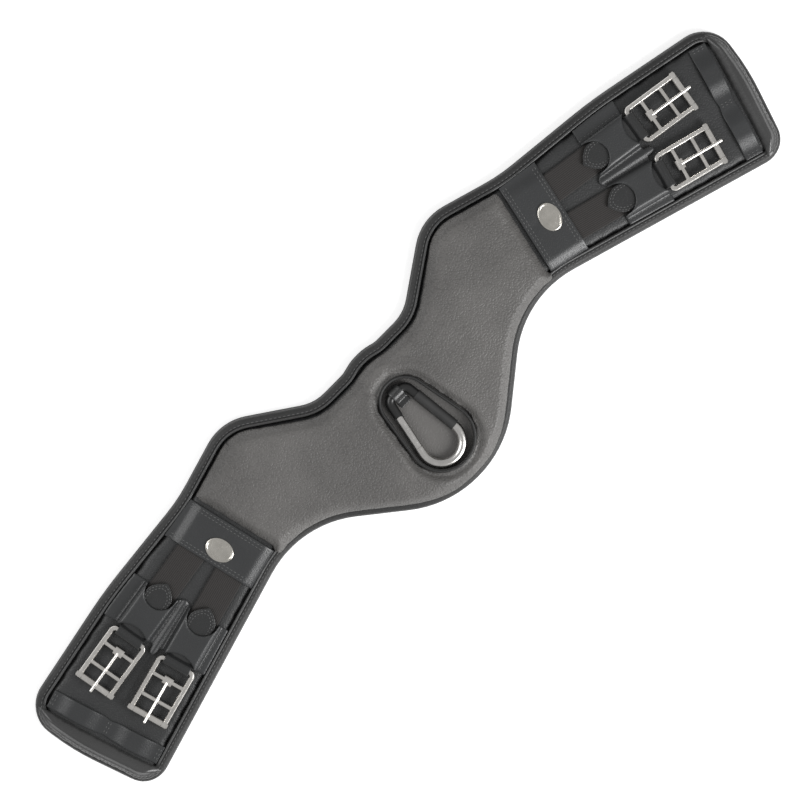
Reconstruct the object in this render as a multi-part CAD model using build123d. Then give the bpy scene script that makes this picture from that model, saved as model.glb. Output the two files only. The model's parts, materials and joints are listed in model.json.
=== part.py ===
from build123d import *
import math
import os

# A short saddle girth with a shaped, padded chest plate, lying flat on its lining.
# Frame: millimetres. X runs along the girth, Y towards its rear edge (the one with the dip),
# Z up out of the outer face. The origin is at the middle of the underside.
# The right wing is modelled at +X and mirrored to make the left wing.

os.makedirs("parts", exist_ok=True)

# ---------------------------------------------------------------- driving dimensions
# Plan shape of the half girth at +X: the corners of its outline, each with its rounding.
DIP_Y = 51.4
BULGE_Y = -87.6
BULGE_CORNER_X = 33.0
BULGE_SHARE = 0.99
DIP_CORNERS = [((7.0, DIP_Y), 40.0), ((18.0, 48.4), 25.0), ((50.7, 48.4), 36.0)]
CREST_CORNER = ((114.0, 91.8), 44.0)
REAR_SIDE_CORNERS = [((182.8, 71.8), 150.0), ((276.8, 61.9), 400.0)]
NECK_CORNER = ((128.2, -11.3), 88.0)
WING_TILT = -12.6
WING_AXIS_Y = 64.9
WING_LENGTH = 392.7
WING_END_CENTRE = 10.7
WING_END_ROUND = 200.0
REAR_CORNER = {"back": 4.9, "across": 60.2, "radius": 27.0}
FRONT_CORNER = {"back": 7.0, "across": -62.3, "radius": 21.0}

# Layers of the girth body, from the horse outwards.
LINING_THICK = 2.5
LINING_ROUND = 0.8
CORE_THICK = 7.0
LEATHER_THICK = 1.5
BINDING_LIP = 8.0
BINDING_ROUND = 4.0
WEBBING_WIDTH = 50.0
WEBBING_THICK = 2.0
WEBBING_END = WING_LENGTH - 62.0
WEBBING_MIDDLE_Y = -15.0
PIPING_WIDTH = 2.0
PIPING_HEIGHT = 1.6

# Raised chest panel and its window.
PANEL_HEIGHT = 10.0
PANEL_GAP = 0.5
PANEL_ROUND = 6.0
WINDOW_NARROW = (1.0, -1.5)
WINDOW_NARROW_RADIUS = 18.5
WINDOW_WIDE = (1.5, -42.5)
WINDOW_WIDE_RADIUS = 25.5
RIM_WALL = 2.4
RIM_PROUD = 0.6
RIM_ROUND = 0.8

# Snap hook lying in the window.
HOOK_ROD = 8.0
HOOK_EYE = (1.0, 8.0)
HOOK_EYE_FLAT = 9.0
HOOK_EYE_CORNER = 5.5
HOOK_WIDE = (-1.5, -45.0)
HOOK_WIDE_RADIUS = 17.3
HOOK_FLOOR_GAP = 0.3
GATE_RIVET_FROM = 14.5
GATE_LENGTH = 25.0
GATE_DIAMETER = 7.6
GATE_GAP = 0.3
TANG_THICK = 3.2
RIVET_DIAMETER = 3.0
RIVET_HEAD = 4.4
RIVET_HEAD_THICK = 0.3
NOSE_THICK = 3.0
NOSE_WIDTH = 4.6
NOSE_LENGTH = 3.2
NOSE_END_GAP = 0.9
SPRING_DIAMETER = 3.0
SPRING_WALL = 0.5
SPRING_LENGTH = 12.0
SLEEVE_WALL = 0.5
SLEEVE_FROM = 7.0
LOOP_WIDTH = 10.4
LOOP_THICK = 1.6
LOOP_GAP = 0.5
LOOP_FOOT = 5.0

# Bands, straps and cover on a wing.
BAND_START = 170.0
BAND_WIDTH = 36.0
BAND_LEATHER = 1.8
ELASTIC_WIDTH = 25.0
ELASTIC_START_IN = 6.0
STRAP_WIDTH = 23.0
STRAP_LEATHER = 2.2
STRAP_LENGTH = 52.5
STRAP_TIP_LENGTH = 13.0
TIP_SHOULDER_AT = 0.42
TIP_SHOULDER = 0.72
STRAP_LAP = 16.5
STRAP_RISE_FROM = 5.6
STRAP_RISE_TO = 1.6
STRAP_RISE_DROP = 0.4
REAR_STRAP = {"along": WING_LENGTH - 103.2, "across": 20.8, "band_across": 12.863}
FRONT_STRAP = {"along": WING_LENGTH - 104.2, "across": -23.2, "band_across": -18.855}
SLIDE_GAP = 0.3
FOLD_GAP = 0.35
TUNNEL_SIDE_GAP = 0.8
TUNNEL_TOP_GAP = 0.5
COVER_START = WING_LENGTH - 148.7
COVER_END = WING_LENGTH - 107.7
COVER_FLAT = 2.2
COVER_WALL = 2.0
COVER_ROUND = 3.5
SCALLOP_IN = COVER_START + 15.4
SCALLOP_OUT = COVER_END - 5.2
SCALLOP_OUT_RADIUS = 20.0
TONGUE_TIP = COVER_START - 3.4
TONGUE_RADIUS = 5.0
TAIL_TIP = COVER_END + 7.8
TAIL_RADIUS = 3.6
KEEPER_ALONG = WING_LENGTH - 31.3
KEEPER_TURN = -3.7
KEEPER_WIDTH = 15.0
KEEPER_LEATHER = 2.0
KEEPER_REAR = 48.0
KEEPER_MIDDLE = -2.9
KEEPER_FRONT = -51.0
KEEPER_FOOT = 5.0
KEEPER_RISE = 5.6
ARCH_SHOULDER_AT = 0.13
ARCH_SHOULDER = 0.62
END_PATCH_GAP = 5.0
END_PATCH_THICK = 2.5
END_PATCH_ROUND = 1.25

# Oval plate on each cross band.
PLATE_LONG = 24.0
PLATE_WIDE = 18.0
PLATE_THICK = 1.6
PLATE_ROUND = 1.12
PLATE_ALONG_BAND = 22.5
PLATE_ACROSS = -3.0
POST_SPACING = 10.0
POST_DIAMETER = 2.4
POST_HEAD = 4.0
POST_HEAD_THICK = 0.6

# Roller buckles for straps 25 mm wide.
RAIL_SPACING = 30.0
RAIL_WIDTH = 4.4
RAIL_HEIGHT = 3.8
BUCKLE_CORNER = 3.5
TONGUE_BAR_AT = 14.5
MIDDLE_BAR_AT = 32.8
ROLLER_AT = 47.0
TONGUE_BAR_DIAMETER = 3.8
MIDDLE_BAR_DIAMETER = 3.6
EYE_DIAMETER = 5.8
ROLLER_DIAMETER = 5.8
ROLLER_END_GAP = 0.3
PIN_DIAMETER = 3.0
PIN_HEAD = 4.6
PIN_HEAD_THICK = 0.8
RUNNING_GAP = 0.05
TONGUE_ROD = 2.6
TONGUE_END_ROUND = 1.04
TONGUE_EYE_WALL = 2.3
TONGUE_EYE_WIDTH = 8.0
TONGUE_PAST_ROLLER = 6.0
TONGUE_REST_GAP = 0.3

# ---------------------------------------------------------------- levels and derived sizes
CORE_Z = LINING_THICK
BASE_Z = CORE_Z + CORE_THICK
DECK_Z = BASE_Z + LEATHER_THICK
PANEL_TOP = DECK_Z + PANEL_HEIGHT
STRAP_Z = DECK_Z + SLIDE_GAP
LAYER_Z = STRAP_Z + STRAP_LEATHER
BAND_TOP = LAYER_Z + BAND_LEATHER
STRAP_TOP = LAYER_Z + STRAP_LEATHER
RAIL_RADIUS = RAIL_WIDTH / 2
FOLD_INNER = RAIL_RADIUS + FOLD_GAP
FOLD_OUTER = FOLD_INNER + STRAP_LEATHER
BAR_Z = STRAP_Z + FOLD_OUTER
TUNNEL_HALF = ELASTIC_WIDTH / 2 + TUNNEL_SIDE_GAP
TUNNEL_TOP = STRAP_TOP + TUNNEL_TOP_GAP
COVER_TOP = TUNNEL_TOP + COVER_WALL
PANEL_INSET = BINDING_LIP + PIPING_WIDTH / 2 + PANEL_GAP
ROD_RADIUS = HOOK_ROD / 2
HOOK_Z = DECK_Z + HOOK_FLOOR_GAP + SLEEVE_WALL + ROD_RADIUS
BIG = 1000.0
NEAR = 0.01


# ---------------------------------------------------------------- places
def wing_point(along, across):
    """A plan point given along and across the right wing's own axis."""
    turn = math.radians(WING_TILT)
    x = along * math.cos(turn) - across * math.sin(turn)
    y = WING_AXIS_Y + along * math.sin(turn) + across * math.cos(turn)
    return (x, y)


def wing_place(along, across, turn=0.0):
    """The place of a piece modelled with X along the wing."""
    x, y = wing_point(along, across)
    return Location((x, y, 0), (0, 0, WING_TILT + turn))


def strap_turn(strap):
    """The angle between a strap and its wing. The elastics keep their places under the cross band."""
    return math.degrees(math.atan2(strap["across"] - strap["band_across"], strap["along"] - BAND_START))


def strap_place(strap):
    """The place of a strap's own frame, whose origin is under its buckle's chape bar."""
    return wing_place(strap["along"], strap["across"], strap_turn(strap))


def elastic_reach(strap):
    """How far a strap's elastic runs back from its chape bar, to under the cross band."""
    return (strap["along"] - BAND_START - ELASTIC_START_IN) / math.cos(math.radians(strap_turn(strap)))


def slab(sketch, low, high):
    """A flat sketch raised from one level to another."""
    return Pos(0, 0, low) * extrude(sketch, high - low)


def block(x_low, x_high, half_width, low, high):
    """A box between two X values, centred on Y = 0."""
    size = (x_high - x_low, 2 * half_width, high - low)
    return Pos((x_low + x_high) / 2, 0, (low + high) / 2) * Box(*size)


def bar(x, z, diameter, length):
    """A round bar along Y."""
    return Pos(x, 0, z) * Rot(90, 0, 0) * Cylinder(diameter / 2, length)


def rounded(solid, level, radius):
    """The solid with its edges at one level rounded."""
    edges = solid.edges().filter_by_position(Axis.Z, level - NEAR, level + NEAR)
    return fillet(edges, radius)


def both_wings(name, right):
    """Writes a right wing piece and its mirror image."""
    export_step(right, f"parts/{name}_right.step")
    export_step(mirror(right, about=Plane.YZ), f"parts/{name}_left.step")


# ---------------------------------------------------------------- plan shapes
def girth_outline():
    """The whole girth's plan outline, made of straight runs and arcs."""
    ends = [(wing_point(WING_LENGTH - corner["back"], corner["across"]), corner["radius"])
            for corner in (REAR_CORNER, FRONT_CORNER)]
    end_middle = (wing_point(WING_LENGTH, WING_END_CENTRE), WING_END_ROUND)
    neck = NECK_CORNER[0]
    bulge_turn = math.atan2(neck[1] - BULGE_Y, neck[0] - BULGE_CORNER_X)
    bulge = ((BULGE_CORNER_X, BULGE_Y), BULGE_SHARE * BULGE_CORNER_X / math.tan(bulge_turn / 2))
    corners = [*DIP_CORNERS, CREST_CORNER, *REAR_SIDE_CORNERS]
    corners += [ends[0], end_middle, ends[1], NECK_CORNER, bulge]
    mirrored = [((-point[0], point[1]), radius) for point, radius in reversed(corners)]
    points = [point for point, radius in corners + mirrored]
    radii = [radius for point, radius in corners + mirrored]
    return make_face(FilletPolyline(*points, radius=radii, close=True))


OUTLINE = girth_outline()
BINDING_LINE = offset(OUTLINE, -LEATHER_THICK)
DECK_LINE = offset(OUTLINE, -BINDING_LIP)
PANEL_LINE = offset(OUTLINE, -PANEL_INSET)


def wing_strip(low, high):
    """The part of the right wing between two distances along it."""
    corners = [wing_point(low, -BIG), wing_point(high, -BIG)]
    corners += [wing_point(high, BIG), wing_point(low, BIG)]
    return make_face(Polyline(*corners, close=True)) & PANEL_LINE


def egg(grow=0.0):
    """The window's plan shape, grown all round."""
    with BuildSketch() as sketch:
        with Locations(WINDOW_NARROW):
            Circle(WINDOW_NARROW_RADIUS + grow)
        with Locations(WINDOW_WIDE):
            Circle(WINDOW_WIDE_RADIUS + grow)
        make_hull()
    return sketch.sketch


# ---------------------------------------------------------------- girth body
def make_body():
    """Lining, core, webbing, binding, outer panel and piping."""
    lining = rounded(slab(OUTLINE, 0, CORE_Z), 0, LINING_ROUND)

    core_block = slab(BINDING_LINE, CORE_Z, BASE_Z)
    core_block = rounded(core_block, BASE_Z, BINDING_ROUND - LEATHER_THICK)
    route = [wing_point(WEBBING_END, 0), wing_point(BAND_START, 0), (0, WEBBING_MIDDLE_Y)]
    route += [(-route[1][0], route[1][1]), (-route[0][0], route[0][1])]
    band = offset(Polyline(*route), WEBBING_WIDTH / 2, kind=Kind.INTERSECTION, side=Side.BOTH)
    webbing = slab(make_face(band), BASE_Z - WEBBING_THICK, BASE_Z)
    core = core_block - webbing

    skin_block = rounded(slab(OUTLINE, CORE_Z, DECK_Z), DECK_Z, BINDING_ROUND)
    binding = skin_block - core_block - slab(DECK_LINE, CORE_Z, DECK_Z)
    deck = slab(DECK_LINE, BASE_Z, DECK_Z)

    inside_piping = offset(OUTLINE, -BINDING_LIP - PIPING_WIDTH / 2)
    piping_ring = offset(OUTLINE, PIPING_WIDTH / 2 - BINDING_LIP) - inside_piping
    piping = slab(piping_ring, DECK_Z, DECK_Z + PIPING_HEIGHT)

    export_step(lining, "parts/lining.step")
    export_step(core, "parts/foam_core.step")
    export_step(webbing, "parts/core_webbing.step")
    export_step(binding, "parts/edge_binding.step")
    export_step(deck, "parts/outer_panel.step")
    export_step(piping, "parts/edge_piping.step")


def make_chest_panel():
    """The raised panel between the cross bands, its foam and the window's rim."""
    right = [wing_point(BAND_START - PANEL_GAP, BIG), wing_point(BAND_START - PANEL_GAP, -BIG)]
    left = [(-right[1][0], right[1][1]), (-right[0][0], right[0][1])]
    between_bands = make_face(Polyline(*right, *left, close=True))
    plan = PANEL_LINE & between_bands
    foam_plan = offset(plan, -LEATHER_THICK)

    foam_top = PANEL_TOP - LEATHER_THICK
    foam = rounded(slab(foam_plan, DECK_Z, foam_top), foam_top, PANEL_ROUND - LEATHER_THICK)
    shell = rounded(slab(plan, DECK_Z, PANEL_TOP), PANEL_TOP, PANEL_ROUND)
    well = slab(egg(RIM_WALL), DECK_Z, PANEL_TOP + RIM_PROUD)
    rim = well - slab(egg(), DECK_Z, PANEL_TOP + RIM_PROUD)
    rim = rounded(rim, PANEL_TOP + RIM_PROUD, RIM_ROUND)

    export_step(foam - well, "parts/chest_foam.step")
    export_step(shell - foam - well, "parts/chest_panel.step")
    export_step(rim, "parts/window_rim.step")


# ---------------------------------------------------------------- snap hook
def tangent_points(small, small_radius, large, large_radius, side):
    """Where one straight line touches two circles on the given side."""
    run = Vector(*large) - Vector(*small)
    angle = math.degrees(math.acos((small_radius - large_radius) / run.length))
    normal = run.normalized().rotate(Axis.Z, side * angle)
    return Vector(*small) + normal * small_radius, Vector(*large) + normal * large_radius


def hook_sides():
    """The right and the left straight side of the hook, each from the eye to the wide end."""
    eye_x, eye_y = HOOK_EYE
    flat = HOOK_EYE_FLAT / 2
    corner_y = eye_y - HOOK_EYE_CORNER
    wide = (HOOK_WIDE, HOOK_WIDE_RADIUS)
    right = tangent_points((eye_x + flat, corner_y), HOOK_EYE_CORNER, *wide, 1)
    left = tangent_points((eye_x - flat, corner_y), HOOK_EYE_CORNER, *wide, -1)
    return right, left


def hook_rod(right, left, gate_way):
    """The bent rod, open on its left side between the gate's shoulder and its nose."""
    eye_x, eye_y = HOOK_EYE
    flat = HOOK_EYE_FLAT / 2
    corner_y = eye_y - HOOK_EYE_CORNER
    corner_turn = math.sqrt(0.5) * HOOK_EYE_CORNER
    left_bend = (eye_x - flat - corner_turn, corner_y + corner_turn)
    right_bend = (eye_x + flat + corner_turn, corner_y + corner_turn)
    wide_low = (HOOK_WIDE[0], HOOK_WIDE[1] - HOOK_WIDE_RADIUS)
    shoulder = left[0] + gate_way * (GATE_RIVET_FROM - GATE_DIAMETER / 2 - GATE_GAP)
    nose_root = left[0] + gate_way * (GATE_RIVET_FROM + GATE_LENGTH + NOSE_END_GAP)
    with BuildLine() as path:
        Line(shoulder, left[0])
        ThreePointArc(left[0], left_bend, (eye_x - flat, eye_y))
        Line((eye_x - flat, eye_y), (eye_x + flat, eye_y))
        ThreePointArc((eye_x + flat, eye_y), right_bend, right[0])
        Line(right[0], right[1])
        ThreePointArc(right[1], wide_low, left[1])
        Line(left[1], nose_root)
    start = Plane(shoulder, z_dir=left[0] - shoulder)
    return sweep(start * Circle(ROD_RADIUS), path.line)


def gate_ends():
    """The tang that the gate turns on and the nose that it closes over, in the gate's own frame."""
    cheek = GATE_DIAMETER / 2
    tang_end = cheek - GATE_GAP
    tang_back = cheek + GATE_GAP + ROD_RADIUS / 2
    tang = Cylinder(tang_end, TANG_THICK)
    tang += Pos(-tang_back / 2, 0, 0) * Box(tang_back, 2 * tang_end, TANG_THICK)
    tang -= Cylinder(RIVET_DIAMETER / 2 + RUNNING_GAP, TANG_THICK)
    nose_far = GATE_LENGTH + NOSE_END_GAP + ROD_RADIUS / 2
    nose_near = GATE_LENGTH + NOSE_END_GAP - NOSE_LENGTH
    nose_box = Box(nose_far - nose_near, NOSE_WIDTH, NOSE_THICK)
    return tang, Pos((nose_near + nose_far) / 2, 0, 0) * nose_box


def gate_solids():
    """The gate, its rivet and its spring, in the gate's own frame: X from the rivet to the nose."""
    cheek = GATE_DIAMETER / 2
    gate = Pos(GATE_LENGTH / 2, 0, 0) * Rot(0, 90, 0) * Cylinder(cheek, GATE_LENGTH)
    gate += Cylinder(cheek, GATE_DIAMETER) & Rot(0, 90, 0) * Cylinder(cheek, GATE_DIAMETER)
    gate -= Cylinder(cheek + GATE_GAP, TANG_THICK + 2 * GATE_GAP)
    nose_slot = NOSE_LENGTH - NOSE_END_GAP + 2 * GATE_GAP
    slot_box = Box(nose_slot, GATE_DIAMETER, NOSE_THICK + 2 * GATE_GAP)
    gate -= Pos(GATE_LENGTH - nose_slot / 2, 0, 0) * slot_box
    bore_depth = SPRING_LENGTH + 2 * GATE_GAP
    bore_middle = cheek + GATE_GAP + bore_depth / 2
    along_gate = Pos(bore_middle, 0, 0) * Rot(0, 90, 0)
    gate -= along_gate * Cylinder((SPRING_DIAMETER + GATE_GAP) / 2, bore_depth + GATE_GAP)
    gate -= Cylinder(RIVET_DIAMETER / 2, GATE_DIAMETER)

    rivet = Cylinder(RIVET_DIAMETER / 2, GATE_DIAMETER)
    head_lift = (GATE_DIAMETER + RIVET_HEAD_THICK) / 2
    for lift in (head_lift, -head_lift):
        rivet += Pos(0, 0, lift) * Cylinder(RIVET_HEAD / 2, RIVET_HEAD_THICK)
    spring = Cylinder(SPRING_DIAMETER / 2, SPRING_LENGTH)
    spring -= Cylinder(SPRING_DIAMETER / 2 - SPRING_WALL, SPRING_LENGTH)
    return gate, rivet, along_gate * spring


def sleeve_solid(right):
    """The sleeve on the hook's right side."""
    way = (right[1] - right[0]).normalized()
    start = right[0] + way * SLEEVE_FROM
    plane = Plane(Vector(start.X, start.Y, HOOK_Z), z_dir=way)
    ring = Circle(ROD_RADIUS + SLEEVE_WALL) - Circle(ROD_RADIUS)
    return extrude(plane * ring, (right[1] - right[0]).length - SLEEVE_FROM)


def loop_arch(radius):
    """A round-topped block as wide as the loop, from the eye's bar down to the window's floor."""
    legs = block(-radius, radius, LOOP_WIDTH / 2, DECK_Z - HOOK_Z, 0)
    return bar(0, 0, 2 * radius, LOOP_WIDTH) + legs


def loop_solid():
    """The loop: an arch over the eye's bar with one foot, standing on the window's floor."""
    inner = ROD_RADIUS + LOOP_GAP
    outer = inner + LOOP_THICK
    above_floor = block(-outer, outer, LOOP_WIDTH / 2, DECK_Z - HOOK_Z, outer)
    loop = (loop_arch(outer) & above_floor) - loop_arch(inner)
    foot_level = DECK_Z - HOOK_Z + LOOP_THICK / 2
    loop += Pos(-outer - LOOP_FOOT / 2, 0, foot_level) * Box(LOOP_FOOT, LOOP_WIDTH, LOOP_THICK)
    return Pos(*HOOK_EYE, HOOK_Z) * Rot(0, 0, 90) * loop


def make_hook():
    """Snap hook with its gate, rivet, spring and sleeve, and the loop that holds it."""
    right, left = hook_sides()
    gate_way = (left[1] - left[0]).normalized()
    gate_angle = math.degrees(math.atan2(gate_way.Y, gate_way.X))
    rivet_spot = left[0] + gate_way * GATE_RIVET_FROM
    gate_place = Location((rivet_spot.X, rivet_spot.Y, HOOK_Z), (0, 0, gate_angle))
    tang, nose = gate_ends()
    gate, rivet, spring = gate_solids()
    hook = Pos(0, 0, HOOK_Z) * hook_rod(right, left, gate_way) + gate_place * tang + gate_place * nose

    export_step(hook, "parts/hook_body.step")
    export_step(gate_place * gate, "parts/hook_gate.step")
    export_step(gate_place * rivet, "parts/hook_gate_rivet.step")
    export_step(gate_place * spring, "parts/hook_gate_spring.step")
    export_step(sleeve_solid(right), "parts/hook_sleeve.step")
    export_step(loop_solid(), "parts/hook_loop.step")
    print("gate rivet at", rivet_spot, "gate angle", gate_angle, "hook level", HOOK_Z)


# ---------------------------------------------------------------- straps and elastics
def elastic_solid(strap):
    """One elastic, from under the cross band to its end under the strap's tip."""
    lap_end = STRAP_LAP - STRAP_LENGTH
    return block(-elastic_reach(strap), lap_end, ELASTIC_WIDTH / 2, STRAP_Z, LAYER_Z)


def strap_solid():
    """One leather strap: a pointed end, two layers and the fold round the chape bar."""
    with BuildSketch(Plane.XZ) as profile:
        with BuildLine():
            fold_low = (0, STRAP_Z)
            fold_top = (0, BAR_Z + FOLD_OUTER)
            rise = [(-STRAP_RISE_TO, fold_top[1] - STRAP_RISE_DROP), (-STRAP_RISE_FROM, STRAP_TOP)]
            tip = [(-STRAP_LENGTH, STRAP_TOP), (-STRAP_LENGTH, LAYER_Z)]
            lap_end = STRAP_LAP - STRAP_LENGTH
            ThreePointArc(fold_low, (FOLD_OUTER, BAR_Z), fold_top)
            Polyline(fold_top, *rise, *tip, (lap_end, LAYER_Z), (lap_end, STRAP_Z), fold_low)
        make_face()
        with Locations((0, BAR_Z)):
            Circle(FOLD_INNER, mode=Mode.SUBTRACT)
    solid = extrude(profile.sketch, STRAP_WIDTH / 2, both=True)
    half = STRAP_WIDTH / 2
    shoulder = STRAP_TIP_LENGTH - STRAP_LENGTH
    arc_x = STRAP_TIP_LENGTH * TIP_SHOULDER_AT - STRAP_LENGTH
    arc_y = half * TIP_SHOULDER
    with BuildSketch() as plan:
        with BuildLine():
            ThreePointArc((-STRAP_LENGTH, 0), (arc_x, arc_y), (shoulder, half))
            Polyline((shoulder, half), (FOLD_OUTER, half), (FOLD_OUTER, -half), (shoulder, -half))
            ThreePointArc((shoulder, -half), (arc_x, -arc_y), (-STRAP_LENGTH, 0))
        make_face()
    return solid & slab(plan.sketch, STRAP_Z, BAR_Z + FOLD_OUTER)


def make_straps(position, strap):
    """A strap and its elastic on both wings."""
    place = strap_place(strap)
    both_wings(f"elastic_{position}", place * elastic_solid(strap))
    both_wings(f"strap_{position}", place * strap_solid())


# ---------------------------------------------------------------- bands, cover, keeper, end patch
def band_solid():
    """The cross band, with a channel for each elastic and holes for the plate's posts."""
    band = slab(wing_strip(BAND_START, BAND_START + BAND_WIDTH), DECK_Z, BAND_TOP)
    band = rounded(band, BAND_TOP, BAND_LEATHER / 2)
    for strap in (REAR_STRAP, FRONT_STRAP):
        channel = block(-elastic_reach(strap), 0, ELASTIC_WIDTH / 2, DECK_Z, LAYER_Z)
        band -= strap_place(strap) * channel
    for post in post_solids():
        band -= post
    return band


def plate_place():
    """Where the oval plate sits on the cross band."""
    return wing_place(BAND_START + PLATE_ALONG_BAND, PLATE_ACROSS, 90)


def plate_solid():
    """A plain domed oval plate."""
    plate = slab(Ellipse(PLATE_LONG / 2, PLATE_WIDE / 2), BAND_TOP, BAND_TOP + PLATE_THICK)
    return rounded(plate, BAND_TOP + PLATE_THICK, PLATE_ROUND)


def post_solids():
    """The two clinched posts under the right wing's plate, in the gap between the elastics."""
    head = Pos(0, 0, LAYER_Z - POST_HEAD_THICK / 2) * Cylinder(POST_HEAD / 2, POST_HEAD_THICK)
    post = head + slab(Circle(POST_DIAMETER / 2), LAYER_Z, BAND_TOP)
    return [plate_place() * Pos(0, y, 0) * post for y in (-POST_SPACING / 2, POST_SPACING / 2)]


def cover_end(along, radius):
    """A round-ended tab of the cover, on the line midway between the straps."""
    edge = COVER_START if along < COVER_START else COVER_END
    middle = (cover_line(REAR_STRAP, edge) + cover_line(FRONT_STRAP, edge)) / 2
    centre = along + radius if along < COVER_START else along - radius
    tab = Pos((edge - centre) / 2, 0, 0) * Rectangle(abs(edge - centre), 2 * radius)
    return wing_place(centre, middle) * (Circle(radius) + tab)


def scallop(strap, along, radius):
    """An upright cylinder that cuts a rounded bay round a strap."""
    place = wing_place(along, cover_line(strap, along))
    return place * Pos(0, 0, COVER_TOP) * Cylinder(radius, 2 * COVER_TOP)


def cover_solid():
    """The panel over both straps, with a tunnel for each."""
    plan = wing_strip(COVER_START, COVER_END)
    plan += cover_end(TONGUE_TIP, TONGUE_RADIUS)
    plan += cover_end(TAIL_TIP, TAIL_RADIUS)
    bulges = []
    tunnels = []
    for strap in (REAR_STRAP, FRONT_STRAP):
        place = strap_place(strap)
        reach = strap["along"] - BAND_START
        bulge = block(-reach, FOLD_OUTER, TUNNEL_HALF + COVER_WALL, DECK_Z, COVER_TOP)
        edges = bulge.edges().filter_by(Axis.X)
        edges = edges.filter_by_position(Axis.Z, COVER_TOP - NEAR, COVER_TOP + NEAR)
        bulges.append(place * fillet(edges, COVER_ROUND))
        tunnels.append(place * block(-reach, FOLD_OUTER, TUNNEL_HALF, DECK_Z, TUNNEL_TOP))
        tunnels.append(scallop(strap, SCALLOP_IN - TUNNEL_HALF, TUNNEL_HALF))
        tunnels.append(scallop(strap, SCALLOP_OUT + SCALLOP_OUT_RADIUS, SCALLOP_OUT_RADIUS))
        mouth_end = SCALLOP_IN - TUNNEL_HALF - strap["along"]
        tunnels.append(place * block(-reach, mouth_end, TUNNEL_HALF, DECK_Z, COVER_TOP))
    raised = slab(plan, DECK_Z, COVER_TOP) & (bulges[0] + bulges[1])
    cover = slab(plan, DECK_Z, DECK_Z + COVER_FLAT) + raised
    for tunnel in tunnels:
        cover -= tunnel
    return cover


def cover_line(strap, along):
    """How far across the wing a strap's middle line is at a distance along it."""
    return strap["across"] + (along - strap["along"]) * math.tan(math.radians(strap_turn(strap)))


def keeper_arch(low, high):
    """Points of one slot's arch, across the keeper."""
    shoulder = (high - low) * ARCH_SHOULDER_AT
    lift = KEEPER_RISE * ARCH_SHOULDER
    middle = (low + high) / 2
    return [(low, 0), (low + shoulder, lift), (middle, KEEPER_RISE), (high - shoulder, lift), (high, 0)]


def keeper_solid():
    """The double keeper: a strip stitched down at its ends and middle."""
    front_arch = keeper_arch(KEEPER_FRONT + KEEPER_FOOT, KEEPER_MIDDLE - KEEPER_FOOT)
    rear_arch = keeper_arch(KEEPER_MIDDLE + KEEPER_FOOT, KEEPER_REAR - KEEPER_FOOT)
    ends = (KEEPER_FRONT, KEEPER_REAR)
    with BuildSketch(Plane.YZ) as profile:
        with BuildLine():
            for lift in (0, KEEPER_LEATHER):
                level = DECK_Z + lift
                front = [(y, level + z) for y, z in front_arch]
                rear = [(y, level + z) for y, z in rear_arch]
                Line((ends[0], level), front[0])
                Spline(*front)
                Line(front[-1], rear[0])
                Spline(*rear)
                Line(rear[-1], (ends[1], level))
            for end in ends:
                Line((end, DECK_Z), (end, DECK_Z + KEEPER_LEATHER))
        make_face()
    strip = extrude(profile.sketch, KEEPER_WIDTH / 2, both=True)
    return wing_place(KEEPER_ALONG, 0, KEEPER_TURN) * strip


def end_patch_solid():
    """The smooth patch beyond the keeper."""
    start = KEEPER_WIDTH / 2 + END_PATCH_GAP
    beyond = wing_place(KEEPER_ALONG, 0, KEEPER_TURN) * Pos(start + BIG / 2, 0, 0) * Rectangle(BIG, BIG)
    patch = slab(PANEL_LINE & beyond, DECK_Z, DECK_Z + END_PATCH_THICK)
    return rounded(patch, DECK_Z + END_PATCH_THICK, END_PATCH_ROUND)


def make_wing():
    """Everything fixed on a wing."""
    both_wings("cross_band", band_solid())
    both_wings("oval_plate", plate_place() * plate_solid())
    posts = post_solids()
    posts += [mirror(post, about=Plane.YZ) for post in posts]
    export_step(Compound(children=posts), "parts/plate_posts.step")
    both_wings("cover_panel", cover_solid())
    both_wings("billet_keeper", keeper_solid())
    both_wings("end_patch", end_patch_solid())


# ---------------------------------------------------------------- buckles
def frame_solid():
    """Ladder frame: two rails bent round into the chape bar, with a tongue bar and a middle bar."""
    half = RAIL_SPACING / 2
    turn = BUCKLE_CORNER * (1 - math.sqrt(0.5))
    bend = BUCKLE_CORNER
    with BuildLine(Plane.XY.offset(BAR_Z)) as path:
        Line((ROLLER_AT, half), (bend, half))
        ThreePointArc((bend, half), (turn, half - turn), (0, half - bend))
        Line((0, half - bend), (0, bend - half))
        ThreePointArc((0, bend - half), (turn, turn - half), (bend, -half))
        Line((bend, -half), (ROLLER_AT, -half))
    section = Plane((ROLLER_AT, half, BAR_Z), z_dir=(-1, 0, 0)) * Circle(RAIL_RADIUS)
    frame = sweep(section, path.line)
    frame &= Pos(ROLLER_AT / 2, 0, BAR_Z) * Box(BIG, BIG, RAIL_HEIGHT)
    frame += bar(TONGUE_BAR_AT, BAR_Z, TONGUE_BAR_DIAMETER, RAIL_SPACING)
    frame += bar(MIDDLE_BAR_AT, BAR_Z, MIDDLE_BAR_DIAMETER, RAIL_SPACING)
    for side in (half, -half):
        frame += Pos(0, side, 0) * bar(ROLLER_AT, BAR_Z, EYE_DIAMETER, RAIL_WIDTH)
    return frame - bar(ROLLER_AT, BAR_Z, PIN_DIAMETER, 2 * RAIL_SPACING)


def pin_solid():
    """The roller's pin, with a head outside each rail."""
    length = RAIL_SPACING + RAIL_WIDTH
    pin = bar(ROLLER_AT, BAR_Z, PIN_DIAMETER, length)
    for side in (1, -1):
        head = bar(ROLLER_AT, BAR_Z, PIN_HEAD, PIN_HEAD_THICK)
        pin += Pos(0, side * (length + PIN_HEAD_THICK) / 2, 0) * head
    return pin


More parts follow.
